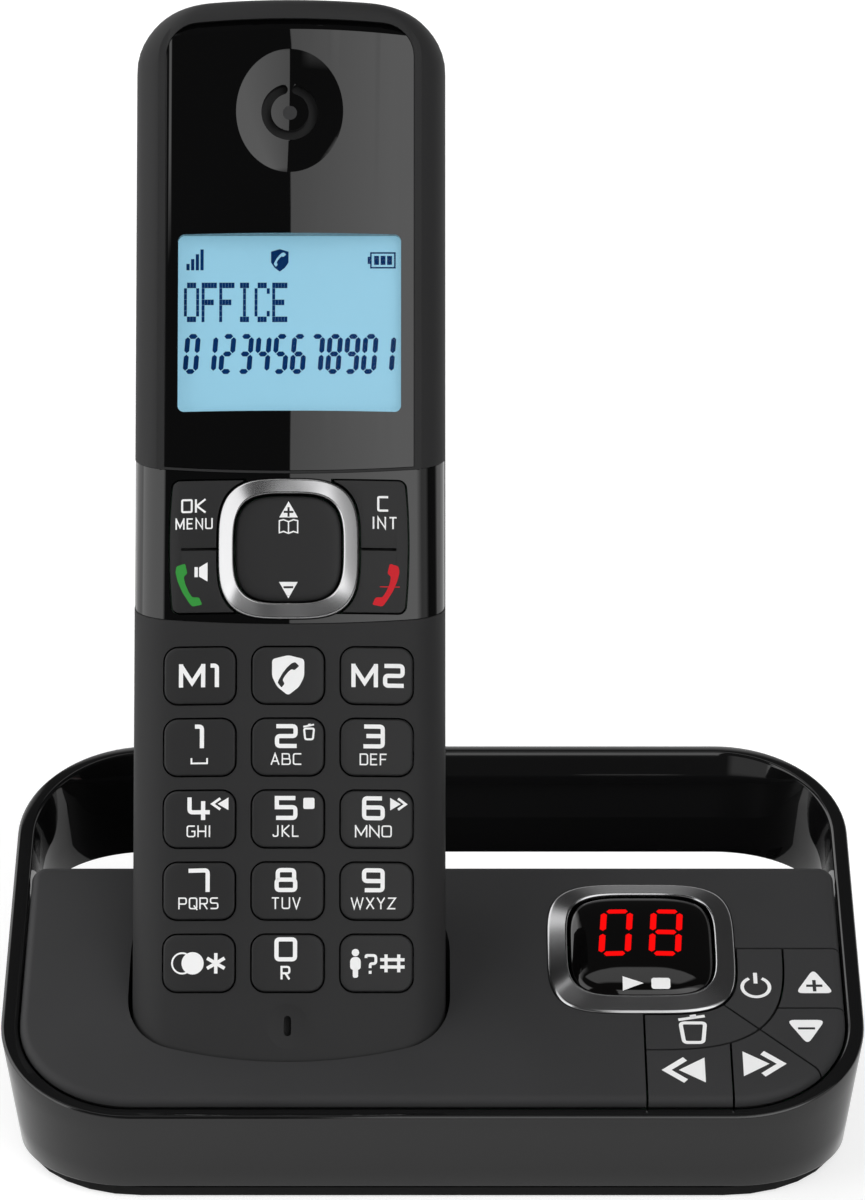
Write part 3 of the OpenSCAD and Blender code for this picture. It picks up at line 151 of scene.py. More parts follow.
def dome(loops, top):
    """Loft closed by a fan to one point above its last loop."""
    verts, faces = loft(loops)
    n, m = len(loops[0]), len(loops)
    faces.pop()
    verts.append(tuple(top))
    faces += [((m - 1) * n + i, (m - 1) * n + (i + 1) % n, m * n) for i in range(n)]
    return verts, faces


def ring(sections):
    """Closed hoop through sections that all lie round one middle."""
    n, m = len(sections), len(sections[0])
    verts = [tuple(p) for s in sections for p in s]
    faces = [(k * m + j, ((k + 1) % n) * m + j, ((k + 1) % n) * m + (j + 1) % m, k * m + (j + 1) % m)
             for k in range(n) for j in range(m)]
    return verts, faces


def joined(*parts):
    verts, faces = [], []
    for v, f in parts:
        base = len(verts)
        verts += list(v)
        faces += [tuple(i + base for i in face) for face in f]
    return verts, faces


def box(x0, x1, y0, y1, z0, z1):
    return prism([(x0, y0), (x1, y0), (x1, y1), (x0, y1)], z0, z1)


def lathe(profile, n=96):
    """Closed solid turned about z from (radius, z) points that start and end on the axis."""
    turns = [2 * pi * (i + 0.37) / n for i in range(n)]  # off the axes, so that no point meets another outline's
    verts = [(0, 0, profile[0][1])]
    for r, z in profile[1:-1]:
        verts += [(r * cos(a), r * sin(a), z) for a in turns]
    verts.append((0, 0, profile[-1][1]))
    rows = len(profile) - 2
    faces = [(0, 1 + (i + 1) % n, 1 + i) for i in range(n)]
    faces += [face for k in range(rows - 1) for face in quads(1 + k * n, 1 + (k + 1) * n, n)]
    last = 1 + (rows - 1) * n
    faces += [(last + i, last + (i + 1) % n, len(verts) - 1) for i in range(n)]
    return verts, faces


def rod(r, z0, z1, n):
    return lathe([(0, z0), (r, z0), (r, z1), (0, z1)], n)


def bowl(r, depth, start, n):
    """Ball-shaped cutter that leaves a dish of that radius and depth in a face at z = 0."""
    ball = (r * r + depth * depth) / (2 * depth)
    over, head, steps = r * 1.3, 6, 26
    reach = [start + (over - start) * i / steps for i in range(steps + 1)]
    return lathe([(0, -depth)] + [(q, ball - depth - sqrt(ball * ball - q * q)) for q in reach]
                 + [(over, head), (0, head)], n)


def moved(part, dx=0.0, dy=0.0, dz=0.0):
    return [(x + dx, y + dy, z + dz) for x, y, z in part[0]], part[1]


def turned(part, matrix):
    return [tuple(matrix @ Vector(v)) for v in part[0]], part[1]


def temp(part):
    mesh = bpy.data.meshes.new("part")
    mesh.from_pydata(part[0], [], part[1])
    bm = bmesh.new()
    bm.from_mesh(mesh)
    bmesh.ops.recalc_face_normals(bm, faces=bm.faces)
    bm.to_mesh(mesh)
    bm.free()
    obj = bpy.data.objects.new("part", mesh)
    bpy.context.scene.collection.objects.link(obj)
    return obj


def settle(obj):
    """Replaces the mesh by what its modifiers give."""
    view = bpy.context.evaluated_depsgraph_get()
    mesh = bpy.data.meshes.new_from_object(obj.evaluated_get(view))
    obj.modifiers.clear()
    obj.data = mesh
    return obj


def combine(obj, operation, parts):
    for part in parts:
        tool = temp(part) if isinstance(part, tuple) else part
        mod = obj.modifiers.new("cut", "BOOLEAN")
        mod.operation, mod.solver, mod.object = operation, "EXACT", tool
        settle(obj)
        bpy.data.objects.remove(tool)
    return obj


def cut(obj, *parts):
    return combine(obj, "DIFFERENCE", parts)


def keep(obj, *parts):
    return combine(obj, "INTERSECT", parts)


def weld(obj, *parts):
    return combine(obj, "UNION", parts)


def bevel(obj, width, angle=50, segments=2):
    mod = obj.modifiers.new("bevel", "BEVEL")
    mod.width, mod.segments, mod.limit_method, mod.angle_limit = width, segments, "ANGLE", radians(angle)
    mod.offset_type, mod.use_clamp_overlap, mod.loop_slide = "OFFSET", True, False
    return settle(obj)


def place(obj, name, where, material, body, stands_for=None, angle=30):
    """Takes a mesh made in millimetres into the row frame and gives it its body, finish and node."""
    if isinstance(obj, tuple):
        obj = temp(obj)
    obj.name = obj.data.name = name
    obj.data.transform(MM @ where)
    obj.data.polygons.foreach_set("use_smooth", [True] * len(obj.data.polygons))
    obj.data.set_sharp_from_angle(angle=radians(angle))
    obj.data.materials.clear()
    obj.data.materials.append(material)
    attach(obj, body)
    if stands_for:
        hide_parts(stands_for)
    return obj


# Materials

def fill(node, **sockets):
    """Sets sockets of a node to values, or links them to other nodes' outputs."""
    for key, value in sockets.items():
        socket = node.inputs[key.replace("_", " ")]
        if isinstance(value, bpy.types.NodeSocket):
            node.id_data.links.new(value, socket)
        else:
            socket.default_value = value
    return node


def add(tree, kind, **sockets):
    return fill(tree.nodes.new("ShaderNode" + kind), **sockets)


def shader(name, color, roughness, **sockets):
    mat = bpy.data.materials.new(name)
    mat.use_nodes = True
    return mat, fill(mat.node_tree.nodes["Principled BSDF"], Base_Color=(*color, 1), Roughness=roughness, **sockets)


def textured(name, color, roughness, grain=0.0004, depth=0.00001, spread=0.12, shade=0.12, strength=0.35, **sockets):
    """Principled finish whose colour, roughness and fine relief vary over the surface."""
    mat, bsdf = shader(name, color, roughness, **sockets)
    tree = mat.node_tree
    spot = add(tree, "TexCoord").outputs["Object"]
    cloud = add(tree, "TexNoise", Vector=spot, Scale=60, Detail=4).outputs["Fac"]
    vary = add(tree, "MapRange", Value=cloud, To_Min=roughness * (1 - spread), To_Max=min(1, roughness * (1 + spread)))
    mix = tree.nodes.new("ShaderNodeMix")
    mix.data_type = "RGBA"
    fill(mix, Factor=cloud, A=(*[c * (1 - shade) for c in color], 1), B=(*[min(1, c * (1 + shade)) for c in color], 1))
    fill(bsdf, Roughness=vary.outputs["Result"], Base_Color=mix.outputs["Result"])
    if depth:
        fine = add(tree, "TexNoise", Vector=spot, Scale=1 / grain, Detail=2).outputs["Fac"]
        bump = add(tree, "Bump", Strength=strength, Distance=depth, Height=fine)
        fill(bsdf, Normal=bump.outputs["Normal"])
    return mat


SHELL = textured("shell_matte", (0.026, 0.026, 0.0265), 0.55, strength=0.3, Specular_IOR_Level=0.12)
REAR = textured("rear_matte", (0.020, 0.020, 0.0205), 0.58, strength=0.4, Specular_IOR_Level=0.25)
KEYS = textured("key_black", (0.019, 0.019, 0.0195), 0.5, strength=0.2, Specular_IOR_Level=0.2)
CONSOLE = textured("console_matte", (0.035, 0.035, 0.036), 0.55, strength=0.3, Specular_IOR_Level=0.14)
CASE = textured("case_matte", (0.009, 0.009, 0.0092), 0.5, strength=0.4, Specular_IOR_Level=0.12)
GLOSS = textured("gloss_black", (0.0015, 0.0015, 0.0016), 0.02, depth=0.0, IOR=1.5)
RING = textured("ring_gloss", (0.005, 0.005, 0.0052), 0.05, depth=0.0, IOR=1.55)
LENS = textured("lens_black", (0.001, 0.0008, 0.0008), 0.03, depth=0.0, IOR=1.5)
SATIN = textured("satin_metal", (0.45, 0.45, 0.455), 0.24, grain=0.00025, depth=0.000004, Metallic=1.0)
DARK_SATIN = textured("dark_satin", (0.4, 0.4, 0.405), 0.17, grain=0.00025, depth=0.000004, Metallic=1.0)
WHITE = textured("legend_white", (0.9, 0.9, 0.9), 0.45, depth=0.0, shade=0.03)
GREEN = textured("legend_green", (0.035, 0.28, 0.045), 0.45, depth=0.0, shade=0.05, Specular_IOR_Level=0.15)
RED = textured("legend_red", (0.62, 0.008, 0.018), 0.45, depth=0.0, shade=0.05, Specular_IOR_Level=0.15)
INK = textured("lcd_ink", (0.003, 0.035, 0.15), 0.5, depth=0.0, shade=0.03, Specular_IOR_Level=0.0)


LCD = textured("lcd_glass", (0.16, 0.32, 0.42), 0.4, depth=0.0, shade=0.03, Emission_Color=(0.30, 0.64, 0.82, 1),
               Emission_Strength=0.6)
DIGIT = textured("digit_red", (0.02, 0.0005, 0.0005), 0.4, depth=0.0, shade=0.03, Emission_Color=(1.0, 0.004, 0.004, 1),
                 Emission_Strength=1.0, Specular_IOR_Level=0.0)
CLEAR, _ = shader("clear_window", (0.01, 0.012, 0.013), 0.05, Alpha=0.06)

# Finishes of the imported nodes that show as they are
finishes = [
    (CLEAR, "lcd_window"),
    (LCD, "lcd_module"),
    (textured("light_guide", (0.85, 0.9, 0.92), 0.5), "backlight"),
    (textured("board_green", (0.03, 0.16, 0.07), 0.35, depth=0.0), "handset_board base_board"),
    (textured("silicone", (0.2, 0.2, 0.21), 0.65), "keypad_mat"),
    (textured("spring_metal", (0.6, 0.59, 0.56), 0.32, depth=0.000003, Metallic=1.0),
     "snap_domes battery_contacts handset_screws base_screws"),
    (textured("speaker_metal", (0.12, 0.12, 0.125), 0.5, Metallic=0.8),
     "earpiece_speaker handsfree_speaker base_speaker"),
    (textured("mic_black", (0.004, 0.004, 0.004), 0.7), "microphone"),
    (textured("cell_wrap", (0.1, 0.28, 0.13), 0.25, depth=0.0), "battery_cells"),
    (textured("contact_gold", (0.75, 0.58, 0.26), 0.25, depth=0.000003, Metallic=1.0),
     "handset_charge_contacts base_charge_contacts"),
    (textured("foot_rubber", (0.02, 0.02, 0.02), 0.8, strength=0.6), "base_feet"),
    (textured("led_black", (0.02, 0.01, 0.01), 0.25, depth=0.0), "led_display"),
    (textured("switch_plastic", (0.03, 0.03, 0.03), 0.5), "tact_switches line_socket power_socket"),
    (CASE, "base_bottom"),
    (REAR, "battery_door"),
]
for finish, names in finishes:
    for node_name in names.split():
        nodes[node_name].data.materials.clear()
        nodes[node_name].data.materials.append(finish)


# Handset

def end_drop(t, r):
    """How far an end rounded by r draws in at a distance t from its tip."""
    return r - sqrt(max(0.0, r * r - (r - t) ** 2)) if t < r else 0.0


def body_section(y, d=0.0):
    """Section of the handset at height y, inset by d, as points in x and z."""
    top = HS_L - y
    hw = HS_W / 2 - max(end_drop(top, TOP_CORNER), end_drop(y, FOOT_CORNER)) - d
    front = max(end_drop(top, END_FRONT), end_drop(y, END_FRONT)) + d
    back = max(end_drop(top, END_BACK), end_drop(y, FOOT_BACK)) + d
    h = HS_T - front - back
    k = min(1.0, h / FULL_T)
    return [(x, z - front) for x, z in crowned(hw, h, CROWN_R - d, (SHOULDER_R - d) * k, (BACK_R - d) * k)]


def body_solid(d=0.0):
    """The whole handset inset by d, or grown where d is below zero."""
    inset, grown = max(d, 0.0), max(-d, 0.0)
    ends = [0.0, 0.04, 0.12, 0.25, 0.45, 0.75, 1.1, 1.6, 2.2, 3.0, 4.0, 5.2, 6.6, 8.2, 10.0]
    steps = [inset + t for t in ends] + [20 + 9 * i for i in range(15)] + [HS_L - inset - t for t in reversed(ends)]
    loops = []
    for y in steps:
        arched = max(0.0, min(1.0, (y - (HS_L - ARCH_L)) / ARCH_L)) ** 2
        out = y - grown if y < END_ZONE else y + grown if y > HS_L - END_ZONE else y
        loops.append([(x, out - arched * x * x / (2 * TOP_ARCH), z) for x, z in reversed(body_section(y, d))])
    return loft(loops)


def band_edge(low, z, g=0.0):
    return (BAND_Y - g if low else BAND_TOP + g) - z * tan(radians(SLANT))


def below_belt(g):
    """Everything of the handset below the belt's slanted upper edge, raised by g."""
    out, wide = 40, 60
    side = [(0, out), (band_edge(False, out, g), out), (band_edge(False, -out, g), -out), (0, -out)]
    return turned(prism(side, -wide, wide), YZX)


def section_ring(outer, inner, g):
    """Closed hoop between two insets of the section, cut by the band's slanted planes."""
    loops = [crowned(HS_W / 2 - d, HS_T - 2 * d, CROWN_R - d, SHOULDER_R - d, BACK_R - d) for d in (outer, inner)]
    stations = []
    for (xo, zo), (xi, zi) in zip(*loops):
        zo, zi = zo - outer, zi - inner
        stations.append([(xo, band_edge(True, zo, g), zo), (xi, band_edge(True, zi, g), zi),
                         (xi, band_edge(False, zi, g), zi), (xo, band_edge(False, zo, g), zo)])
    return ring(stations)


def across(steps):
    """Places from right to left over the face."""
    return [FACE_X - 2 * FACE_X * i / steps for i in range(steps + 1)]


def crown_bar(lift=0.0):
    """Everything under the crowned face, lifted a little."""
    bar = [(x, crown_z(x, lift)) for x in across(88)] + [(-FACE_X, -THROUGH), (FACE_X, -THROUGH)]
    return turned(prism(bar, -HS_L - 5, 0), QUARTER_X)


def panel_outline(g, low):
    hw, top = PANEL_W / 2 + g, PANEL_TOP + g
    return [(x, y + top) for x, y in crowned(hw, top - low, PANEL_ARCH, PANEL_CORNER + g, 0.5, crown_n=24)]


def key_outline(d):
    return rounded(-KEY_W / 2, KEY_W / 2, -KEY_H / 2, KEY_H / 2, KEY_R, d=d)


def key_spot(c, r):
    return (c - 1) * PITCH_X, ROW_Y + (4 - r) * PITCH_Y


def side_outline(g, mirror=1):
    """Function key's outline, larger by g: bowed outside, hollowed beside the ring."""
    half, r = SIDE_H / 2 + g, SIDE_R + g
    bow_r = (half * half + SIDE_BOW * SIDE_BOW) / (2 * SIDE_BOW)
    outer = [(-SIDE_X - g + bow_r - sqrt(bow_r ** 2 - y * y), y)
             for y in [(-half + r) + (2 * half - 2 * r) * i / 16 for i in range(17)]]
    x_c = outer[0][0] + r
    edge = arc(x_c, -half + r, r, 270, 180, 6) + outer[1:-1] + arc(x_c, half - r, r, 180, 90, 6)
    edge = [(x, y + SIDE_UP) for x, y in edge]
    reach = NAV_D / 2 + PAD_GAP - g
    hollow = [p for p in squircle(reach, reach, NAV_P, 160)
              if p[0] < SIDE_IN + g and abs(p[1] - SIDE_UP) < half - 0.02]
    hollow.sort(key=lambda p: -p[1])
    points = edge + [(hollow[0][0], half + SIDE_UP)] + hollow + [(hollow[-1][0], SIDE_UP - half)]
    return [(mirror * x, y + NAV_Y) for x, y in points]


def nav_hole():
    return moved(through(squircle(NAV_D / 2 + FIT, NAV_D / 2 + FIT, NAV_P)), 0, NAV_Y)


def plate_holes():
    return joined(through(side_outline(PAD_GAP)), through(side_outline(PAD_GAP, -1)))


FRONT_HALF = box(-FAR, FAR, -FAR, 2 * FAR, -PARTING + FIT, FAR)
front = keep(temp(body_solid()), FRONT_HALF)
cut(front, body_solid(WALL))
weld(front, prism(panel_outline(LEDGE, BAND_TOP - LEDGE), SEAT_FLOOR - LEDGE_T, SEAT_FLOOR + PANEL_RIM))
mic = arc(0, MIC_HALF, MIC_R, 0, 180, 10) + arc(0, -MIC_HALF, MIC_R, 180, 360, 10)
cut(front, section_ring(-1.0, BAND_SINK + BAND_T + FIT, FIT),
    cut(temp(prism(panel_outline(FIT, NAV_Y), SEAT_FLOOR, FAR)), below_belt(RIDGE - FIT)),
    box(-LCD_W / 2 - LEDGE, LCD_W / 2 + LEDGE, LCD_LOW - 1.6, LCD_LOW + LCD_H + LEDGE, -PARTING, 0),
    joined(*[moved(through(key_outline(-KEY_GAP)), *key_spot(c, r)) for c in range(3) for r in range(5)]),
    plate_holes(), nav_hole(), moved(bowl(MIC_DENT_R, MIC_DENT, 0.4, 64), 0, MIC_Y), moved(through(mic), 0, MIC_Y))
place(front, "handset_front", ON_HANDSET, SHELL, "handset", "handset_front_shell", 25)

# Rear shell: battery bay with the door's seat and rails, screw posts, sound slots and the contacts' windows
bore = lathe([(0, BEHIND), (SCREW_HEAD, BEHIND), (SCREW_HEAD, HEAD_FLOOR), (SCREW_HOLE, HEAD_FLOOR), (SCREW_HOLE, -8),
              (0, -8)], 40)
post = rod(SCREW_POST, POST_BACK, POST_TOP, 40)
vents = []
for i in range(-2, 3):
    reach = VENT_HALF - abs(i)
    vent = prism(rounded(-reach, reach, -VENT_H, VENT_H, VENT_R, n=5), BEHIND, -20)
    vents.append(moved(vent, 0, DISH_Y - VENT_DROP + VENT_PITCH * i))
rear = keep(temp(body_solid()), box(-FAR, FAR, -FAR, 2 * FAR, -FAR, -PARTING - FIT))
cut(rear, body_solid(WALL))
weld(rear, joined(box(-BAY_OUT, BAY_OUT, BAY_LOW - BAY_RIM, BAY_HIGH + BAY_RIM, DOOR_BACK, BAY_ROOF),
                  box(-RAIL_X, RAIL_X, DOOR_Y - RAIL_L, DOOR_Y, DOOR_BACK, RAIL_TOP)),
     joined(*[moved(post, *s) for s in SCREWS]))
cut(rear, box(-DOOR_W / 2 - DOOR_GAP, DOOR_W / 2 + DOOR_GAP, DOOR_Y - DOOR_SLIDE - DOOR_GAP,
              DOOR_Y + DOOR_L + DOOR_GAP, BEHIND, DOOR_FACE),
    box(-BAY_X, BAY_X, BAY_LOW, BAY_HIGH, BEHIND, BAY_FLOOR), joined(*vents),
    joined(*[box(s * CONTACT_X - CONTACT_HALF, s * CONTACT_X + CONTACT_HALF, -2, 4, -15, -13) for s in (-1, 1)]),
    joined(*[moved(bore, *s) for s in SCREWS]))
place(rear, "handset_rear", ON_HANDSET, REAR, "handset", "handset_rear_shell", 25)

band = keep(temp(section_ring(BAND_SINK, BAND_SINK + BAND_T, 0.0)), FRONT_HALF)
cut(band, plate_holes(), nav_hole())
place(band, "band", ON_HANDSET, GLOSS, "handset", "glossy_band", 18)

# Screen panel: crowned plate with a sloped top edge, the dish, its open ring of a slot and the window opening
panel = keep(temp(prism(panel_outline(0.0, NAV_Y), PANEL_BACK, 3)), crown_bar())
sloped = []
for x in across(44):
    y, z = PANEL_TOP - PANEL_EDGE - PANEL_ARCH + sqrt(PANEL_ARCH ** 2 - x * x), crown_z(x)
    sloped.append([(x, y, z), (x, y + EDGE_RUN, z - EDGE_RUN * tan(radians(EDGE_SLOPE))),
                   (x, y + EDGE_RUN, z + 5), (x, y, z + 5)])
slot_mid, slot_end, turn = (SLOT_OUT + SLOT_IN) / 2, (SLOT_OUT - SLOT_IN) / 2, radians(SLOT_TURN)
slot = (arc(0, 0, SLOT_OUT, 90 + SLOT_TURN, 450 - SLOT_TURN, 60)
        + arc(slot_mid * sin(turn), slot_mid * cos(turn), slot_end, 90 - SLOT_TURN, 270 - SLOT_TURN, 10, 1)
        + arc(0, 0, SLOT_IN, 450 - SLOT_TURN, 90 + SLOT_TURN, 60, 1)
        + arc(-slot_mid * sin(turn), slot_mid * cos(turn), slot_end, SLOT_TURN - 90, SLOT_TURN + 90, 10, 1)[:-1])
cut(panel, below_belt(RIDGE), moved(bowl(DISH_D / 2, DISH_DEPTH, 1.0, 128), 0, DISH_Y), loft(sloped),
    moved(prism(slot, -THROUGH, 3), 0, DISH_Y),
    through(rounded(-LCD_W / 2, LCD_W / 2, LCD_LOW, LCD_LOW + LCD_H, 1.0)))
bevel(panel, 0.12, 55)
place(panel, "panel", ON_HANDSET, GLOSS, "handset", "screen_panel", 12)

key_nodes = ["key_" + tail for tail in "m1 call m2 1 2 3 4 5 6 7 8 9 star 0 hash".split()]
for index, key in enumerate(key_nodes):
    kx, ky = key_spot(index % 3, index // 3)
    foot = [(max(-FLANGE_X - kx, min(FLANGE_X - kx, x)), y) for x, y in key_outline(-FLANGE)]
    loops = [[(x, y, z) for x, y in loop]
             for loop, z in ((foot, FLANGE_LOW), (foot, FLANGE_TOP), (key_outline(0), FLANGE_TOP))]
    for a in (0, 18, 36, 54, 72, 90):
        inset, drop = KEY_FILLET * (1 - cos(radians(a))), KEY_FILLET * (1 - sin(radians(a)))
        loops.append([(x, y, crown_z(kx + x) + KEY_RISE - drop) for x, y in key_outline(inset)])
    loops += [[(x * k, y * k, crown_z(kx + x * k) + KEY_RISE) for x, y in key_outline(KEY_FILLET)]
              for k in (0.8, 0.55, 0.3)]
    place(moved(dome(loops, (0, 0, crown_z(kx) + KEY_RISE)), kx, ky), "cap_" + key, ON_HANDSET, KEYS, key,
          key, 35)

# Function keys: plates that follow the crown, with a part-way slit
for way, key in ((1, "left_key"), (-1, "right_key")):
    plate = keep(temp(prism(side_outline(0.0, way), PLATE_LOW, 3)), crown_bar(PLATE_LIFT))
    slit = rounded(-SIDE_X + SLIT_X, 0, -SLIT_HALF, SLIT_HALF, 0.2)
    cut(plate, moved(prism([(way * x, y) for x, y in slit], -3.2, 3), 0, NAV_Y))
    bevel(plate, 0.18, 55, 3)
    place(plate, "plate_" + key, ON_HANDSET, KEYS, key, key, 25)


def level_ring(levels, a, b, p, n=160):
    """Squircle frame from levels of inset, height and, where it follows the crown, the crown's share."""
    loops = [[(x, y, z + sum(c * crown_z(x) for c in share)) for x, y in squircle(a - d, b - d, p, n)]
             for d, z, *share in levels]
    return ring([[loop[i] for loop in loops] for i in range(n)])


def level_dome(levels, a, b, p):
    """Domed squircle from levels of inset and height, of which the last is its middle."""
    return dome([[(x, y, z) for x, y in squircle(a - d, b - d, p)] for d, z in levels[:-1]], (0, 0, levels[-1][1]))


NAV_HALF = NAV_D / 2
ring_levels = [(0, -2.53, 0), (NAV_RING, -2.53, 0), (NAV_RING, 0.55, 0), (2.36, 0.72, 0), (2.25, 0.84, 0),
               (2.1, 0.9, 0), (2.03, 0.877, 0.031), (1.2, 0.6, 0.4), (0.37, 0.323, 0.769), (0.3, 0.3, 0.8),
               (0.12, 0.2, 0.9), (0.03, 0.08, 0.97), (0, 0.0, 1)]
nav_ring = level_ring(ring_levels, NAV_HALF, NAV_HALF, NAV_P)
place(moved(nav_ring, 0, NAV_Y), "ring_nav", ON_HANDSET, SATIN, "handset", "nav_ring", 35)

PAD_HALF = NAV_HALF - NAV_RING - PAD_GAP
pad_levels = [(0, -6.06), (0, -0.35), (0.06, -0.1), (0.22, 0.08), (0.5, 0.2), (0.9, 0.3), (1.6, 0.36), (3.2, 0.41),
              (5.5, 0.44), (8.1, 0.45)]
place(moved(level_dome(pad_levels, PAD_HALF, PAD_HALF, NAV_P), 0, NAV_Y), "pad_nav", ON_HANDSET, KEYS, "nav_pad",
      "nav_pad", 35)


# Base

def rim_low(y):
    """Height of the surround's lower edge, which sweeps up into the loop."""
    start, end = CONSOLE_L * cos(tilt) - SWEEP_LEAD, (BASE_L - RIM_R) * cos(tilt) + SWEEP_TAIL
    t = max(0.0, min(1.0, (y - start) / (end - start)))
    low = RIM_Z + BASE_L * sin(tilt) - LOOP_H
    return PLINTH + (low - PLINTH) * (1 - cos(pi * t)) / 2


def rim_path():
    """Places along the rim in the deck frame, with the outward direction of each."""
    cx, s0, s1, n, sides = BASE_W / 2 - RIM_R, RIM_R, BASE_L - RIM_R, 22, 44

    def corner(x, s, a0):
        return [(x + RIM_R * cos(radians(a)), s + RIM_R * sin(radians(a)), cos(radians(a)), sin(radians(a)))
                for a in [a0 + 90 * i / n for i in range(n + 1)]]
    return (corner(cx, s1, 0) + corner(-cx, s1, 90)
            + [(-BASE_W / 2, s1 + (s0 - s1) * i / sides, -1, 0) for i in range(1, sides)]
            + corner(-cx, s0, 180) + corner(cx, s0, 270)
            + [(BASE_W / 2, s0 + (s1 - s0) * i / sides, 1, 0) for i in range(1, sides)])


def rim_section(x, s, nx, ny):
    """Drafted section of the surround at one place of the rim, with rounded edges."""
    py, top = s * cos(tilt), RIM_Z + s * sin(tilt)
    low, edge, foot, nick = rim_low(py), RIM_EDGE, 0.3, 0.1
    turns = (pi / 8, pi / 4, 3 * pi / 8)
    rim = [(RIM_T, top - edge)] + [(RIM_T - edge + edge * cos(a), top - edge + edge * sin(a)) for a in turns]
    rim += [(RIM_T - edge, top), (edge, top)]
    rim += [(edge - edge * cos(a), top - edge + edge * sin(a)) for a in reversed(turns)]
    rim += [(0, top - edge)] + [(0, top - edge + (low + foot - top + edge) * k) for k in (0.25, 0.5, 0.75, 1.0)]
    rim += [(nick, low + nick), (foot, low), (RIM_T - foot, low), (RIM_T - nick, low + nick)]
    rim += [(RIM_T, low + foot + (top - edge - low - foot) * k) for k in (0.0, 0.25, 0.5, 0.75)]
    insets = [(inset + (top - z) * tan(radians(DRAFT)), z) for inset, z in rim]
    return [(x - nx * inset, py - ny * inset, z) for inset, z in insets]


place(ring([rim_section(*p) for p in rim_path()]), "surround", ON_TABLE, RING, "base", "base_ring", 40)

INNER_X, INNER_F, INNER_R = BASE_W / 2 - RIM_T - RIM_GAP, RIM_T + RIM_GAP, RIM_R - RIM_T - RIM_GAP


def deck_plate():
    """Top cover's plate with its rounded edge, from which the console and the flush buttons are cut."""
    start = DECK - EDGE_R
    levels = [(DECK_UNDER, DECK - DECK_T), (0.0, start)]
    levels += [(EDGE_R * (1 - cos(radians(a))), start + EDGE_R * sin(radians(a))) for a in (15, 30, 45, 60, 75, 90)]
    return loft([[(x, s, z) for x, s in rounded(-INNER_X, INNER_X, INNER_F, CONSOLE_L, INNER_R, BACK_CORNER, d, 16)]
                 for d, z in levels])


def about_bezel(poly, z0=-THROUGH, z1=THROUGH):
    return moved(prism(poly, z0, z1), BEZEL_X, BEZEL_S)


def field(g):
    """Quarter of the deck that the flush buttons share, larger by g."""
    return [(-g, -FAR), (FAR, -FAR), (FAR, g), (-g, g)]


gap = LINE / 2
bezel_seat = squircle(BEZEL_W / 2 + FIT, BEZEL_L / 2 + FIT, BEZEL_P)
lens_hole = squircle(11.7, 11.4, BEZEL_P)
to_deck = ON_DECK.inverted() @ ON_HANDSET
tub = keep(temp(turned(body_solid(-POCKET_GAP - POCKET_WALL), to_deck)),
           box(-FAR, FAR, -FAR, FAR, -FAR, DECK - DECK_T + 0.3))
console = weld(temp(deck_plate()), tub)
cut(console, turned(body_solid(-POCKET_GAP), to_deck),
    cut(temp(about_bezel(field(gap))), about_bezel(bezel_seat, -2 * THROUGH, 2 * THROUGH)),
    about_bezel(bezel_seat, DECK - 1), about_bezel(lens_hole))
place(console, "console", ON_DECK, CONSOLE, "base", "base_console", 28)

# Flush buttons: inside or outside a curve round the bezel, on one side of its diagonal, some split again
diagonal = gap * sqrt(2)
bezel_clear = squircle(BEZEL_W / 2 + LINE, BEZEL_L / 2 + LINE, BEZEL_P)
inside = squircle(CURVE_R - gap, CURVE_R - gap, CURVE_P, 200)
outside = squircle(CURVE_R + gap, CURVE_R + gap, CURVE_P, 200)
above = [(0, diagonal), (FAR, -FAR + diagonal), (FAR, FAR), (0, FAR)]
below = [(0, -diagonal), (FAR, -FAR - diagonal), (0, -FAR - diagonal)]
buttons = {
    "button_power": (True, above, None, (18.2, -8.3)),
    "button_delete": (True, below, None, (7.4, -18.05)),
    "button_volume_up": (False, above, (-FAR, FAR, -SPLIT + gap, FAR), (26.35, -7.4)),
    "button_volume_down": (False, above, (-FAR, FAR, -FAR, -SPLIT - gap), (23.2, -18.2)),
    "button_skip_back": (False, below, (-FAR, SPLIT - gap, -FAR, FAR), (5.8, -27.2)),
    "button_skip_forward": (False, below, (SPLIT + gap, FAR, -FAR, FAR), (17.8, -24.9)),
}
for name, (near, wedge, strip, stem) in buttons.items():
    button = keep(temp(deck_plate()), about_bezel(field(-gap)), about_bezel(wedge))
    if near:
        keep(button, about_bezel(inside))
    else:
        cut(button, about_bezel(outside))
    if strip:
        keep(button, moved(box(*strip, -THROUGH, THROUGH), BEZEL_X, BEZEL_S))
    cut(button, about_bezel(bezel_clear))
    weld(button, moved(rod(STEM_R, STEM_LOW, STEM_TOP, 32), BEZEL_X + stem[0], BEZEL_S + stem[1]))
    place(button, "flush_" + name, ON_DECK, CONSOLE, name, name, 28)

bezel_levels = [(0, -0.35), (BEZEL_FACE, -0.35), (BEZEL_FACE, 1.25), (3.06, 1.43), (2.96, 1.55), (2.8, 1.6),
                (2.73, 1.58), (1.6, 1.264), (0.47, 0.948), (0.4, 0.928), (0.18, 0.85), (0.04, 0.73), (0, 0.6)]
place(level_ring(bezel_levels, BEZEL_W / 2, BEZEL_L / 2, BEZEL_P), "bezel", ON_BEZEL, DARK_SATIN, "base",
      "display_bezel", 35)

LENS_A, LENS_B = BEZEL_W / 2 - BEZEL_FACE - 0.25, BEZEL_L / 2 - BEZEL_FACE - 0.25
lens_levels = [(0, -2.4), (0, 0.75), (0.1, 1.05), (0.35, 1.34), (0.8, 1.55), (1.5, 1.74), (2.6, 1.93), (4.0, 2.09),
               (5.6, 2.2), (7.4, 2.27), (9.2, 2.295), (11.15, 2.3)]
place(level_dome(lens_levels, LENS_A, LENS_B, BEZEL_P), "lens", ON_BEZEL, LENS, "play_stop_button",
      "play_stop_button", 40)


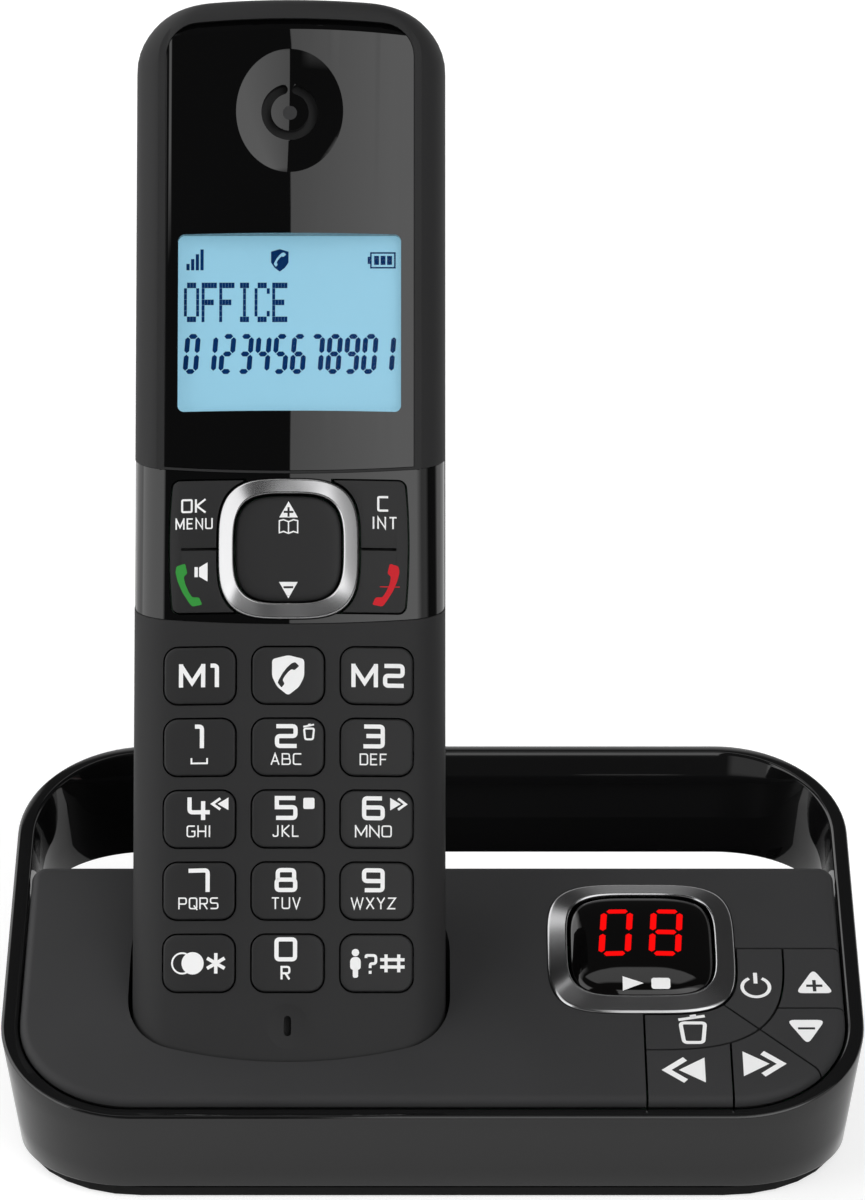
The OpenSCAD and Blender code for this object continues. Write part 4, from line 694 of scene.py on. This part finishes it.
def domed_height(levels, a, b, p, x, y):
    """Height of a domed piece over a place given from its middle."""
    r = max((abs(x) / a) ** p + (abs(y) / b) ** p, 1e-9) ** (1 / p)
    d = min(a * max(0.0, 1 - r), levels[-1][0])
    for (d0, z0), (d1, z1) in zip(levels[1:], levels[2:]):
        if d <= d1:
            return z0 + (z1 - z0) * (d - d0) / (d1 - d0)
    return levels[-1][1]


# Legends: each sign is a list of flat polygons, and strokes are strips with mitred corners

def rounded_line(points, r, closed=False, n=5):
    """Polyline with its corners turned into arcs of radius r; a third number scales a corner's own radius."""
    pts = [Vector(p[:2]) for p in points]
    share = [p[2] if len(p) > 2 else 1.0 for p in points]
    out = []
    count = len(pts)
    for i, p in enumerate(pts):
        if share[i] == 0 or (not closed and i in (0, count - 1)):
            out.append(tuple(p))
            continue
        a, b = pts[i - 1] - p, pts[(i + 1) % count] - p
        reach = min(r * share[i], a.length * 0.49, b.length * 0.49)
        p0, p1 = p + a.normalized() * reach, p + b.normalized() * reach
        for k in range(n + 1):
            t = k / n
            out.append(tuple(p0 * (1 - t) ** 2 + p * 2 * t * (1 - t) + p1 * t * t))
    return out


def stroke(points, width, closed=False, r=0.0):
    """Quads along a line of the given width."""
    pts = [Vector(p) for p in rounded_line(points, r, closed)] if r else [Vector(p[:2]) for p in points]
    pts = [p for i, p in enumerate(pts) if i == 0 or (p - pts[i - 1]).length > 1e-4]
    if closed and (pts[0] - pts[-1]).length < 1e-4:
        pts.pop()
    n = len(pts)
    rails = []
    for i, p in enumerate(pts):
        dirs = [(p - pts[i - 1]).normalized()] if closed or i > 0 else []
        dirs += [(pts[(i + 1) % n] - p).normalized()] if closed or i < n - 1 else []
        normal = Vector((0, 0))
        for d in dirs:
            normal += Vector((-d.y, d.x))
        normal.normalize()
        scale = 1 / max(0.35, normal.dot(Vector((-dirs[0].y, dirs[0].x))))
        rails.append((p + normal * width / 2 * scale, p - normal * width / 2 * scale))
    return [[tuple(rails[i][1]), tuple(rails[(i + 1) % n][1]), tuple(rails[(i + 1) % n][0]), tuple(rails[i][0])]
            for i in range(n if closed else n - 1)]


def shifted(polys, dx, dy):
    return [[(x + dx, y + dy) for x, y in p] for p in polys]


def disc(cx, cy, r, n=28):
    return [arc(cx, cy, r, 0, 360 - 360 / n, n - 1)]


def holed(outer, holes):
    """Triangles of a polygon with holes."""
    rings = [[Vector((x, y, 0)) for x, y in outer]] + [[Vector((x, y, 0)) for x, y in reversed(h)] for h in holes]
    points = list(outer)
    for h in holes:
        points += list(reversed(h))
    return [[points[i] for i in tri] for tri in tessellate_polygon(rings)]


# Stroke alphabet on a unit square: closed loops (o), rounded lines (l) and sharp lines (s). A third number scales a
# corner's radius.
STROKES = """
0 o 0,0 1,0 1,1 0,1
1 l .28,1 .66,1 .66,-.09
2 l -.04,1 1,1 1,.5 0,.5 0,0 1.06,0
3 l 0,1 1,1 1,0 -.04,0 / l .12,.52 1,.52
4 l 0,1.05 0,.3 1.1,.3 / l .74,.86 .74,-.09
5 l 1,1 0,1,0 0,.54,0 1,.54 1,0 -.04,0
6 l .96,1 0,1 0,0 1,0 1,.54 0,.54
7 l -.04,.98 1,1 1,-.09
8 o 0,0 1,0 1,.52 0,.52 / l .06,.52 .06,1 .94,1 .94,.52
9 l .04,0 1,0 1,1 0,1 0,.46 1,.46
A s 0,-.05 .5,1 1,-.05 / s .2,.3 .8,.3
B o 0,0,0 1,0 1,.52 0,.52,0 / l 0,.52 0,1,0 .9,1 .9,.52
C l 1,1 0,1 0,0 1,0
D o 0,0,0 1,0 1,1 0,1,0
E s 1,1 0,1 0,0 1,0 / s 0,.52 .9,.52
F s 1,1 0,1 0,-.06 / s 0,.5 .9,.5
G l 1,1 0,1 0,0 1,0 1,.5,0 .55,.5
H s 0,-.06 0,1.06 / s 1,-.06 1,1.06 / s 0,.5 1,.5
I s .5,-.06 .5,1.06
J l .8,1.06 .8,0 0,0 0,.2
K s 0,-.06 0,1.06 / s 1,1.06 .1,.5 1,-.06
L s 0,1.06 0,0 .95,0
M s 0,-.09 0,1.09 / s .02,.97 .5,.14 .98,.97 / s 1,-.09 1,1.09
N s 0,-.06 0,1 1,0 1,1.06
O o 0,0 1,0 1,1 0,1
P l 0,-.06 0,1,0 1,1 1,.44 0,.44
Q o 0,0 1,0 1,1 0,1 / s .6,.3 1.08,-.14
R l 0,-.06 0,1,0 1,1 1,.46 0,.46 / s .5,.46 1,-.06
S l 1,1 0,1 0,.52 1,.52 1,0 0,0
T s 0,1 1,1 / s .5,1 .5,-.06
U l 0,1.06 0,0 1,0 1,1.06
V s 0,1.05 .5,0 1,1.05
W s 0,1.05 .25,0 .5,.95 .75,0 1,1.05
X s 0,-.05 1,1.05 / s 0,1.05 1,-.05
Y s 0,1.05 .5,.48 1,1.05 / s .5,.48 .5,-.06
Z s 0,1 1,1 0,0 1,0
? l 0,.85 0,1 1,1 1,.52 .42,.52 .42,.26 / s .42,.1 .42,-.08
"""
GLYPHS = {}
for row in STROKES.strip().split("\n"):
    ch, lines = row.split(" ", 1)
    GLYPHS[ch] = [(line[0], [tuple(map(float, p.split(","))) for p in line[2:].split()]) for line in lines.split(" / ")]
WIDE = {"I": 0.28, "M": 1.2, "W": 1.5, "J": 0.85, "E": 0.9, "F": 0.88, "L": 0.9}


def word(text, cx, cy, height, total, pen, gap=0.3, r=0.3):
    """Word in the plain stroke alphabet, centred, with the given outer height and width."""
    unit = (total - gap * (len(text) - 1)) / sum(WIDE.get(ch, 1.0) for ch in text)
    x = cx - total / 2
    polys = []
    for ch in text:
        span = unit * WIDE.get(ch, 1.0)
        for kind, pts in GLYPHS[ch]:
            pts = [(x + pen / 2 + p[0] * (span - pen), cy - height / 2 + pen / 2 + p[1] * (height - pen), *p[2:])
                   for p in pts]
            polys += stroke(pts, pen, kind == "o", 0.0 if kind == "s" else r)
        x += span + gap
    return polys


def triangle(cx, cy, w, h, r=0.0, up=1):
    pts = [(cx - w / 2, cy - up * h / 2), (cx + w / 2, cy - up * h / 2), (cx, cy + up * h / 2)]
    pts = pts if up > 0 else pts[::-1]
    return rounded_line(pts, r, True) if r else pts


def handset_sign(cx, cy, size, lean_deg=0.0, flip=1):
    """Telephone handset seen from the side: a slim bowed handle with a block at each end of its inside."""
    pts = [(-1.9, 2.96), (-2.04, 2.04), (-1.69, 0.63), (-0.99, -0.99), (0, -2.54), (0.56, -3.24), (2.1, -2.96),
           (1.6, -1.83), (0.56, -1.83), (0, -1.0), (-0.56, 0.28), (-0.77, 1.4), (-0.2, 1.83), (-0.56, 3.38)]
    ca, sa = cos(radians(lean_deg)), sin(radians(lean_deg))
    pts = rounded_line(pts, 0.28, True, 3)
    pts = [(flip * (x * ca - y * sa) * size + cx, (x * sa + y * ca) * size + cy) for x, y in pts]
    return pts if flip > 0 else pts[::-1]


def chevrons(cx, cy, w, h, way):
    """Solid triangle followed by an open one, pointing left (-1) or right (1)."""
    solid = [[(cx - way * w * 0.5, cy - h / 2), (cx - way * w * 0.5, cy + h / 2), (cx + way * w * 0.14, cy)]]
    pen = w * 0.15
    return solid + stroke([(cx - way * w * 0.02, cy + h / 2 - pen * 0.3), (cx + way * w * 0.44, cy),
                           (cx - way * w * 0.02, cy - h / 2 + pen * 0.3)], pen)


def bin_sign(cx, cy, w, h, pen):
    body = stroke([(cx - w * 0.4, cy + h * 0.22), (cx - w * 0.31, cy - h * 0.5 + pen / 2),
                   (cx + w * 0.31, cy - h * 0.5 + pen / 2), (cx + w * 0.4, cy + h * 0.22)], pen, True, pen)
    lid = stroke([(cx - w * 0.46, cy + h * 0.33), (cx + w * 0.4, cy + h * 0.46)], pen * 0.9)
    return body + lid + stroke([(cx - w * 0.08, cy + h * 0.44), (cx + w * 0.12, cy + h * 0.475)], pen * 0.9)


def cross(cx, cy, r, t):
    points = [(-t, -r), (t, -r), (t, -t), (r, -t), (r, t), (t, t), (t, r), (-t, r), (-t, t), (-r, t), (-r, -t),
              (-t, -t)]
    return [(cx + x, cy + y) for x, y in points]


def dash(cx, cy, r, t):
    return [(cx - r, cy - t), (cx + r, cy - t), (cx + r, cy + t), (cx - r, cy + t)]


def sign(name, polys, height, where, material, body, thick=0.03, step=0.9):
    """Printed mark: flat polygons laid over height(x, y) and given a little thickness."""
    verts, faces = [], []
    for poly in polys:
        base = len(verts)
        verts += [(x, y, 0.0) for x, y in poly]
        if len(poly) <= 4:
            faces.append(tuple(range(base, base + len(poly))))
        else:
            flat = [Vector((x, y, 0)) for x, y in poly]
            faces += [tuple(base + i for i in tri) for tri in tessellate_polygon([flat])]
    obj = temp((verts, faces))
    bm = bmesh.new()
    bm.from_mesh(obj.data)
    bmesh.ops.remove_doubles(bm, verts=bm.verts, dist=1e-5)
    for axis in (0, 1):
        spread = [v.co[axis] for v in bm.verts]
        for k in range(1, int((max(spread) - min(spread)) / step) + 1):
            at, normal = [0.0] * 3, [0.0] * 3
            at[axis], normal[axis] = min(spread) + k * step, 1.0
            bmesh.ops.bisect_plane(bm, geom=bm.verts[:] + bm.edges[:] + bm.faces[:], plane_co=at, plane_no=normal)
    for v in bm.verts:
        v.co.z = height(v.co.x, v.co.y)
    for f in bm.faces:
        f.normal_update()
        if f.normal.z < 0:
            f.normal_flip()
    bm.to_mesh(obj.data)
    bm.free()
    mod = obj.modifiers.new("thick", "SOLIDIFY")
    mod.thickness, mod.offset = thick, 0.0
    return place(settle(obj), name, where, material, body)


def on_key(x, y):
    return crown_z(x) + KEY_RISE + MARK_LIFT


# Key numbers: pen, radius of the corners, height and usual width
PEN, ROUND, BIG_H, BIG_W = 0.64, 0.5, 3.66, 3.46


def big(ch, cx, cy, width=BIG_W):
    return word(ch, cx, cy, BIG_H, width, PEN, 0, ROUND)


# Marks of the keypad, drawn about each key's middle
words = {"2": ("ABC", 4.8), "3": ("DEF", 4.2), "4": ("GHI", 3.7), "5": ("JKL", 4.1), "6": ("MNO", 5.6),
         "7": ("PQRS", 6.15), "8": ("TUV", 4.5), "9": ("WXYZ", 6.9)}
extras = {"2": bin_sign(3.2, 2.25, 1.9, 2.5, 0.3), "4": chevrons(3.15, 2.3, 2.6, 1.9, -1),
          "5": [rounded(2.35, 4.05, 1.5, 3.2, 0.25, n=4)], "6": chevrons(3.3, 2.3, 2.5, 1.9, 1)}
for index, key in enumerate(key_nodes):
    number = key[4:]
    dx = (-0.1, -0.26, -0.5)[index % 3]
    if number == "m1":
        polys = big("M", -1.2, 0, 4.05) + big("1", 2.2, 0, 3.2)
    elif number == "m2":
        polys = big("M", -1.85, 0, 4.05) + big("2", 2.6, 0, 3.3)
    elif number == "call":
        shield = [(-2.45, 2.45), (0, 3.05), (2.45, 2.45), (2.45, -0.2), (1.7, -1.75), (0, -3.1), (-1.7, -1.75),
                  (-2.45, -0.2)]
        polys = holed(rounded_line(shield, 0.5, True), [handset_sign(0, 0.1, 0.62, -62)])
    elif number == "star":
        polys = stroke(arc(-2.55, 0, 1.55, 64, 296, 30), 0.26) + disc(-0.95, 0, 1.7)
        for a in (90, 30, 150):
            ax, ay = 1.55 * cos(radians(a)), 1.55 * sin(radians(a))
            polys += stroke([(2.6 - ax, -ay), (2.6 + ax, ay)], 0.52)
    elif number == "0":
        polys = big("0", -0.26, 2.1) + word("R", -0.3, -1.45, 2.1, 1.5, 0.32, 0, 0.35)
    elif number == "hash":
        polys = disc(-3.2, 1.62, 0.56) + word("?", -0.85, -0.1, 3.0, 1.9, 0.42, 0, 0.4)
        polys += [rounded(-4.0, -2.4, -1.0, 0.95, 0.5, 0.7), rounded(-3.6, -2.8, -2.2, -0.8, 0.3)]
        for s in (-0.55, 0.55):
            polys += stroke([(0.55, s), (4.25, s)], 0.5)
            polys += stroke([(2.4 + 1.75 * s, -1.35), (2.4 + 1.75 * s, 1.35)], 0.48)
    elif number == "1":
        polys = big("1", dx, 1.65) + stroke([(-1.25, -1.65), (-1.25, -2.45), (1.15, -2.45), (1.15, -1.65)], 0.26)
    else:
        text, total = words[number]
        polys = big(number, dx, 1.65) + word(text, dx, -1.85, 1.8, total, 0.21) + extras.get(number, [])
    sign("mark_" + key, shifted(polys, *key_spot(index % 3, index // 3)), on_key, ON_HANDSET, WHITE, key)


def on_plate(x, y):
    return crown_z(x, PLATE_LIFT) + MARK_LIFT


# Marks of the function keys, at places counted from the ring's middle
left = word("OK", -14.55, 6.67, 2.13, 3.9, 0.3, 0.35, 0.2) + word("MENU", -14.5, 3.94, 1.7, 5.75, 0.22, 0.32, 0.2)
left += [dash(-14.15, -3.5, 0.25, 0.77), [(-13.7, -4.2), (-12.4, -4.97), (-12.4, -2.03), (-13.7, -2.8)]]
right = word("C", 14.45, 7.0, 2.4, 1.84, 0.33, 0, 0.22) + word("INT", 14.7, 4.07, 1.9, 3.84, 0.24, 0.4, 0.2)
plate_marks = {
    "mark_left_words": (left, WHITE, "left_key"),
    "mark_left_call": ([handset_sign(-15.3, -5.55, 1.0)], GREEN, "left_key"),
    "mark_right_words": (right, WHITE, "right_key"),
    "mark_right_end": ([handset_sign(14.9, -5.55, 1.0, 0, -1)] + stroke([(13.95, -5.75), (17.0, -5.75)], 0.14), RED,
                       "right_key"),
}
for name, (polys, ink, key) in plate_marks.items():
    sign(name, shifted(polys, 0, NAV_Y), on_plate, ON_HANDSET, ink, key)


def on_pad(x, y):
    return domed_height(pad_levels, PAD_HALF, PAD_HALF, NAV_P, x, y - NAV_Y) + 0.025


pad_marks = holed(triangle(0, 6.0, 2.85, 2.5), [cross(0, 5.6, 0.74, 0.16)])
pad_marks += holed(triangle(0, -6.4, 2.85, 2.5, 0.0, -1), [dash(0, -5.95, 0.74, 0.16)])
for s in (-1, 1):
    pad_marks += stroke([(0, 2.3), (s * 0.75, 2.6), (s * 1.4, 2.4), (s * 1.4, 4.25), (s * 0.75, 4.4), (0, 4.1)], 0.2)
pad_marks += stroke([(0, 2.2), (0, 4.1)], 0.2)
sign("mark_nav", shifted(pad_marks, 0, NAV_Y), on_pad, ON_HANDSET, WHITE, "nav_pad")
sign("dish_spot", disc(0, DISH_Y - 0.1, 1.1), lambda x, y: MARK_LIFT - DISH_DEPTH, ON_HANDSET, CONSOLE, "handset")


def seven(ch, x, y, w, h, t, skew, apart=0.68, tip=0.3):
    """Seven-part digit with its lower left corner at x, y."""
    lit = {"0": "abcdef", "1": "bc", "2": "abged", "3": "abgcd", "4": "fgbc", "5": "afgcd", "6": "afgedc", "7": "abc",
           "8": "abcdefg", "9": "abfgcd"}[ch]
    e, m, k = t * apart, h / 2, t / 2

    def bar(x0, x1, yc):
        return [(x0 + e, yc - k), (x1 - e, yc - k), (x1 - e * tip, yc), (x1 - e, yc + k), (x0 + e, yc + k),
                (x0 + e * tip, yc)]

    def post(xc, y0, y1):
        return [(xc - k, y0 + e), (xc, y0 + e * tip), (xc + k, y0 + e), (xc + k, y1 - e), (xc, y1 - e * tip),
                (xc - k, y1 - e)]
    parts = {"a": bar(k, w - k, h - k), "g": bar(k, w - k, m), "d": bar(k, w - k, k), "f": post(k, m, h - k),
             "e": post(k, k, m), "b": post(w - k, m, h - k), "c": post(w - k, k, m)}
    return [[(x + px + skew * py, y + py) for px, py in parts[s]] for s in lit]


# Display: icons, a word in dots and slanted seven-part digits, all on the display cell's face
DOTS = {"O": "01110 10001 10001 10001 10001 10001 01110", "F": "11111 10000 10000 11110 10000 10000 10000",
        "I": "01110 00100 00100 00100 00100 00100 01110", "C": "01110 10001 10000 10000 10000 10001 01110",
        "E": "11111 10000 10000 11110 10000 10000 11111"}
DOT_X, DOT_Y, WORD_X, WORD_Y, WORD_PITCH = 0.47, 0.88, -16.3, 14.15, 2.72
NUMBER_X, NUMBER_Y, NUMBER_PITCH = -16.5, 6.1, 2.74
screen = []
for place_no, ch in enumerate("OFFICE"):
    for row, bits in enumerate(DOTS[ch].split()):
        for col, bit in enumerate(bits):
            if bit == "1":
                x0, y0 = WORD_X + place_no * WORD_PITCH + col * DOT_X, WORD_Y + (6 - row) * DOT_Y
                x1, y1 = x0 + DOT_X - 0.02, y0 + DOT_Y - 0.03
                screen.append([(x0, y0), (x1, y0), (x1, y1), (x0, y1)])
for place_no, ch in enumerate("012345678901"):
    screen += seven(ch, NUMBER_X + place_no * NUMBER_PITCH, NUMBER_Y, 2.35, 6.2, 0.76, 0.08, 0.6, 0.25)
for i in range(4):
    screen.append(dash(-15.7 + 0.72 * i, 22.7 + 0.375 * i, 0.25, 0.5 + 0.375 * i))
emblem = [(-2.9, 25.1), (-1.55, 25.5), (-0.2, 25.1), (-0.2, 23.4), (-0.75, 22.6), (-1.55, 22.0), (-2.35, 22.6),
          (-2.9, 23.4)]
screen += holed(emblem, [handset_sign(-1.55, 23.9, 0.36, -62)])
screen += stroke([(12.5, 22.6), (16.2, 22.6), (16.2, 24.9), (12.5, 24.9)], 0.24, True)
screen += [dash(12.2, 23.75, 0.2, 0.55)] + [dash(13.375 + i, 23.75, 0.375, 0.7) for i in range(3)]
sign("display_marks", shifted(screen, 0, LCD_LOW), lambda x, y: PANEL_BACK - 0.17, ON_HANDSET, INK, "handset",
     0.02, FAR)

# Marks of the base, at places counted from the bezel's middle
power = stroke(arc(17.4, -8.5, 2.1, 118, 422, 40), 0.55)
power += stroke([(17.4, -7.7), (17.4, -5.4)], 0.6)
base_marks = {
    "button_power": power,
    "button_delete": bin_sign(7.4, -17.6, 4.7, 6.2, 0.6),
    "button_volume_up": holed(triangle(26.4, -7.2, 5.9, 5.2, 1.2), [cross(26.4, -8.2, 1.25, 0.27)]),
    "button_volume_down": holed(triangle(24.7, -18.2, 5.9, 5.2, 1.2, -1), [dash(24.7, -17.4, 1.3, 0.24)]),
    "button_skip_back": chevrons(5.8, -26.2, 6.2, 5.2, -1),
    "button_skip_forward": chevrons(17.8, -24.9, 6.2, 5.2, 1),
}
for name, polys in base_marks.items():
    sign("mark_" + name, polys, lambda x, y: DECK + MARK_LIFT, ON_BEZEL, WHITE, name, step=FAR)


def on_lens(x, y):
    return domed_height(lens_levels, LENS_A, LENS_B, BEZEL_P, x, y) + 0.05


digits = [p for i, ch in enumerate("08") for p in seven(ch, -6.75 + 7.75 * i, -3.3, 5.0, 10.4, 0.95, 0.07, 0.78, 0.5)]
sign("digits", digits, on_lens, ON_BEZEL, DIGIT, "play_stop_button", 0.02)
play = [[(-3.1, -10.2), (0.1, -8.9), (-3.1, -7.6)]]
play += shifted([rounded(-1.45, 1.45, -1.0, 1.0, 0.4, n=4)], 2.75, -8.9)
sign("mark_play_stop", play, on_lens, ON_BEZEL, WHITE, "play_stop_button", 0.02, 0.3)


# Stage, light and camera

def calc(operation, *values):
    """Math node fed by numbers and by other nodes' outputs, in the tree of those."""
    tree = next(value.id_data for value in values if isinstance(value, bpy.types.NodeSocket))
    node = add(tree, "Math")
    node.operation = operation
    for socket, value in zip(node.inputs, values):
        if isinstance(value, bpy.types.NodeSocket):
            tree.links.new(value, socket)
        else:
            socket.default_value = value
    return node.outputs[0]


def ramp(value, a, b, low=0.0, high=1.0):
    """Straight change from low at a to high at b, level beyond them."""
    node = add(value.id_data, "MapRange", Value=value, From_Min=a, From_Max=b, To_Min=low, To_Max=high)
    return node.outputs["Result"]


def times(first, *rest):
    for value in rest:
        first = calc("MULTIPLY", first, value)
    return first


def plus(first, *rest):
    for value in rest:
        first = calc("ADD", first, value)
    return first


def ray_kinds(tree):
    """One for rays from the camera, and one for rays that a gloss or a clear surface sends on."""
    path = add(tree, "LightPath").outputs
    return path["Is Camera Ray"], calc("MAXIMUM", path["Is Glossy Ray"], path["Is Transmission Ray"])


FLOOR_X, FLOOR_FRONT, FLOOR_BACK = 0.45, -0.13, 0.6
floor_mesh = bpy.data.meshes.new("floor")
floor_mesh.from_pydata([(-FLOOR_X, FLOOR_FRONT, 0), (FLOOR_X, FLOOR_FRONT, 0), (FLOOR_X, FLOOR_BACK, 0),
                        (-FLOOR_X, FLOOR_BACK, 0)], [], [(0, 1, 2, 3)])
floor = bpy.data.objects.new("floor", floor_mesh)
bpy.context.scene.collection.objects.link(floor)
floor_mat, floor_bsdf = shader("floor_white", (0.5, 0.5, 0.5), 0.8, Specular_IOR_Level=0.0)
seen, passed_on = ray_kinds(floor_mat.node_tree)
glow = calc("MAXIMUM", times(seen, 0.65), times(passed_on, 0.4))
fill(floor_bsdf, Emission_Color=(1, 1, 1, 1), Emission_Strength=glow)
floor_mesh.materials.append(floor_mat)

# Studio, by direction alone: a large light on the left, one on the right in front, a low card on the left in front,
# a high card and a backdrop behind, all else dim. Side is 0 in front and positive on the right, rise is 90 overhead.
world = bpy.data.worlds.new("studio")
bpy.context.scene.world = world
world.use_nodes = True
sky = world.node_tree
sky.nodes.clear()
east, north, up = add(sky, "SeparateXYZ", Vector=add(sky, "TexCoord").outputs["Generated"]).outputs
side = calc("DEGREES", calc("ARCTAN2", east, calc("MULTIPLY", north, -1.0)))
rise = calc("DEGREES", calc("ARCSINE", up))


def card(strength, turns, rises, turn=side):
    """Light from one part of the sky between soft edges, each given as where it is dark and where it is lit."""
    return times(*[ramp(turn, *edge) for edge in turns], *[ramp(rise, *edge) for edge in rises], strength)


left_box = card(1.9, [(-44, -49), (-158, -150)], [(-12, -9), (66, 58)])
right_box = card(1.0, [(-1.75, -1.45), (0, 28, 1.55, 2.3), (50, 64, 1.0, 0.28), (84, 76)], [(0, 4), (80, 74)])
low_card = card(0.5, [(-62, -58), (-8, -14)], [(14, 6), (-9, -7)])
rear_card = card(1.0, [(135, 142)], [(67.6, 68.2), (82, 79)], calc("ABSOLUTE", side))
backdrop = card(0.55, [(0.25, 0.4)], [(34, 24), (-6, -2)], north)
studio = plus(left_box, right_box, low_card, rear_card, backdrop, 0.06)

# The background is white to the camera, and behind the object also to rays that a gloss or a clear surface sends on
seen, passed_on = ray_kinds(sky)
behind = times(ramp(north, 0.3, 0.4), ramp(rise, 22, 18))
white = calc("MAXIMUM", seen, times(passed_on, behind))
level = plus(times(studio, calc("SUBTRACT", 1.0, white)), white)
light = add(sky, "Background", Color=(1, 1, 1, 1), Strength=level)
add(sky, "OutputWorld", Surface=light.outputs["Background"])

# Camera fitted to the photograph: focal length in its pixels, place in millimetres, and degrees that it looks down
FOCAL, PHOTO_H, SENSOR = 5125, 1200, 36.0
CAMERA_Y, CAMERA_Z, CAMERA_DOWN = -666.46, 404.03, 24.5
camera_data = bpy.data.cameras.new("camera")
camera_data.sensor_fit = "VERTICAL"
camera_data.sensor_height = camera_data.sensor_width = SENSOR
camera_data.lens = SENSOR * FOCAL / PHOTO_H
camera_data.clip_end = 50
camera = bpy.data.objects.new("camera", camera_data)
bpy.context.scene.collection.objects.link(camera)
camera.location = (0.0, (CAMERA_Y - mid_y) / 1000, CAMERA_Z / 1000)
camera.rotation_euler = (radians(90 - CAMERA_DOWN), 0, 0)
bpy.context.scene.camera = camera
bpy.context.scene.view_settings.view_transform = "Standard"
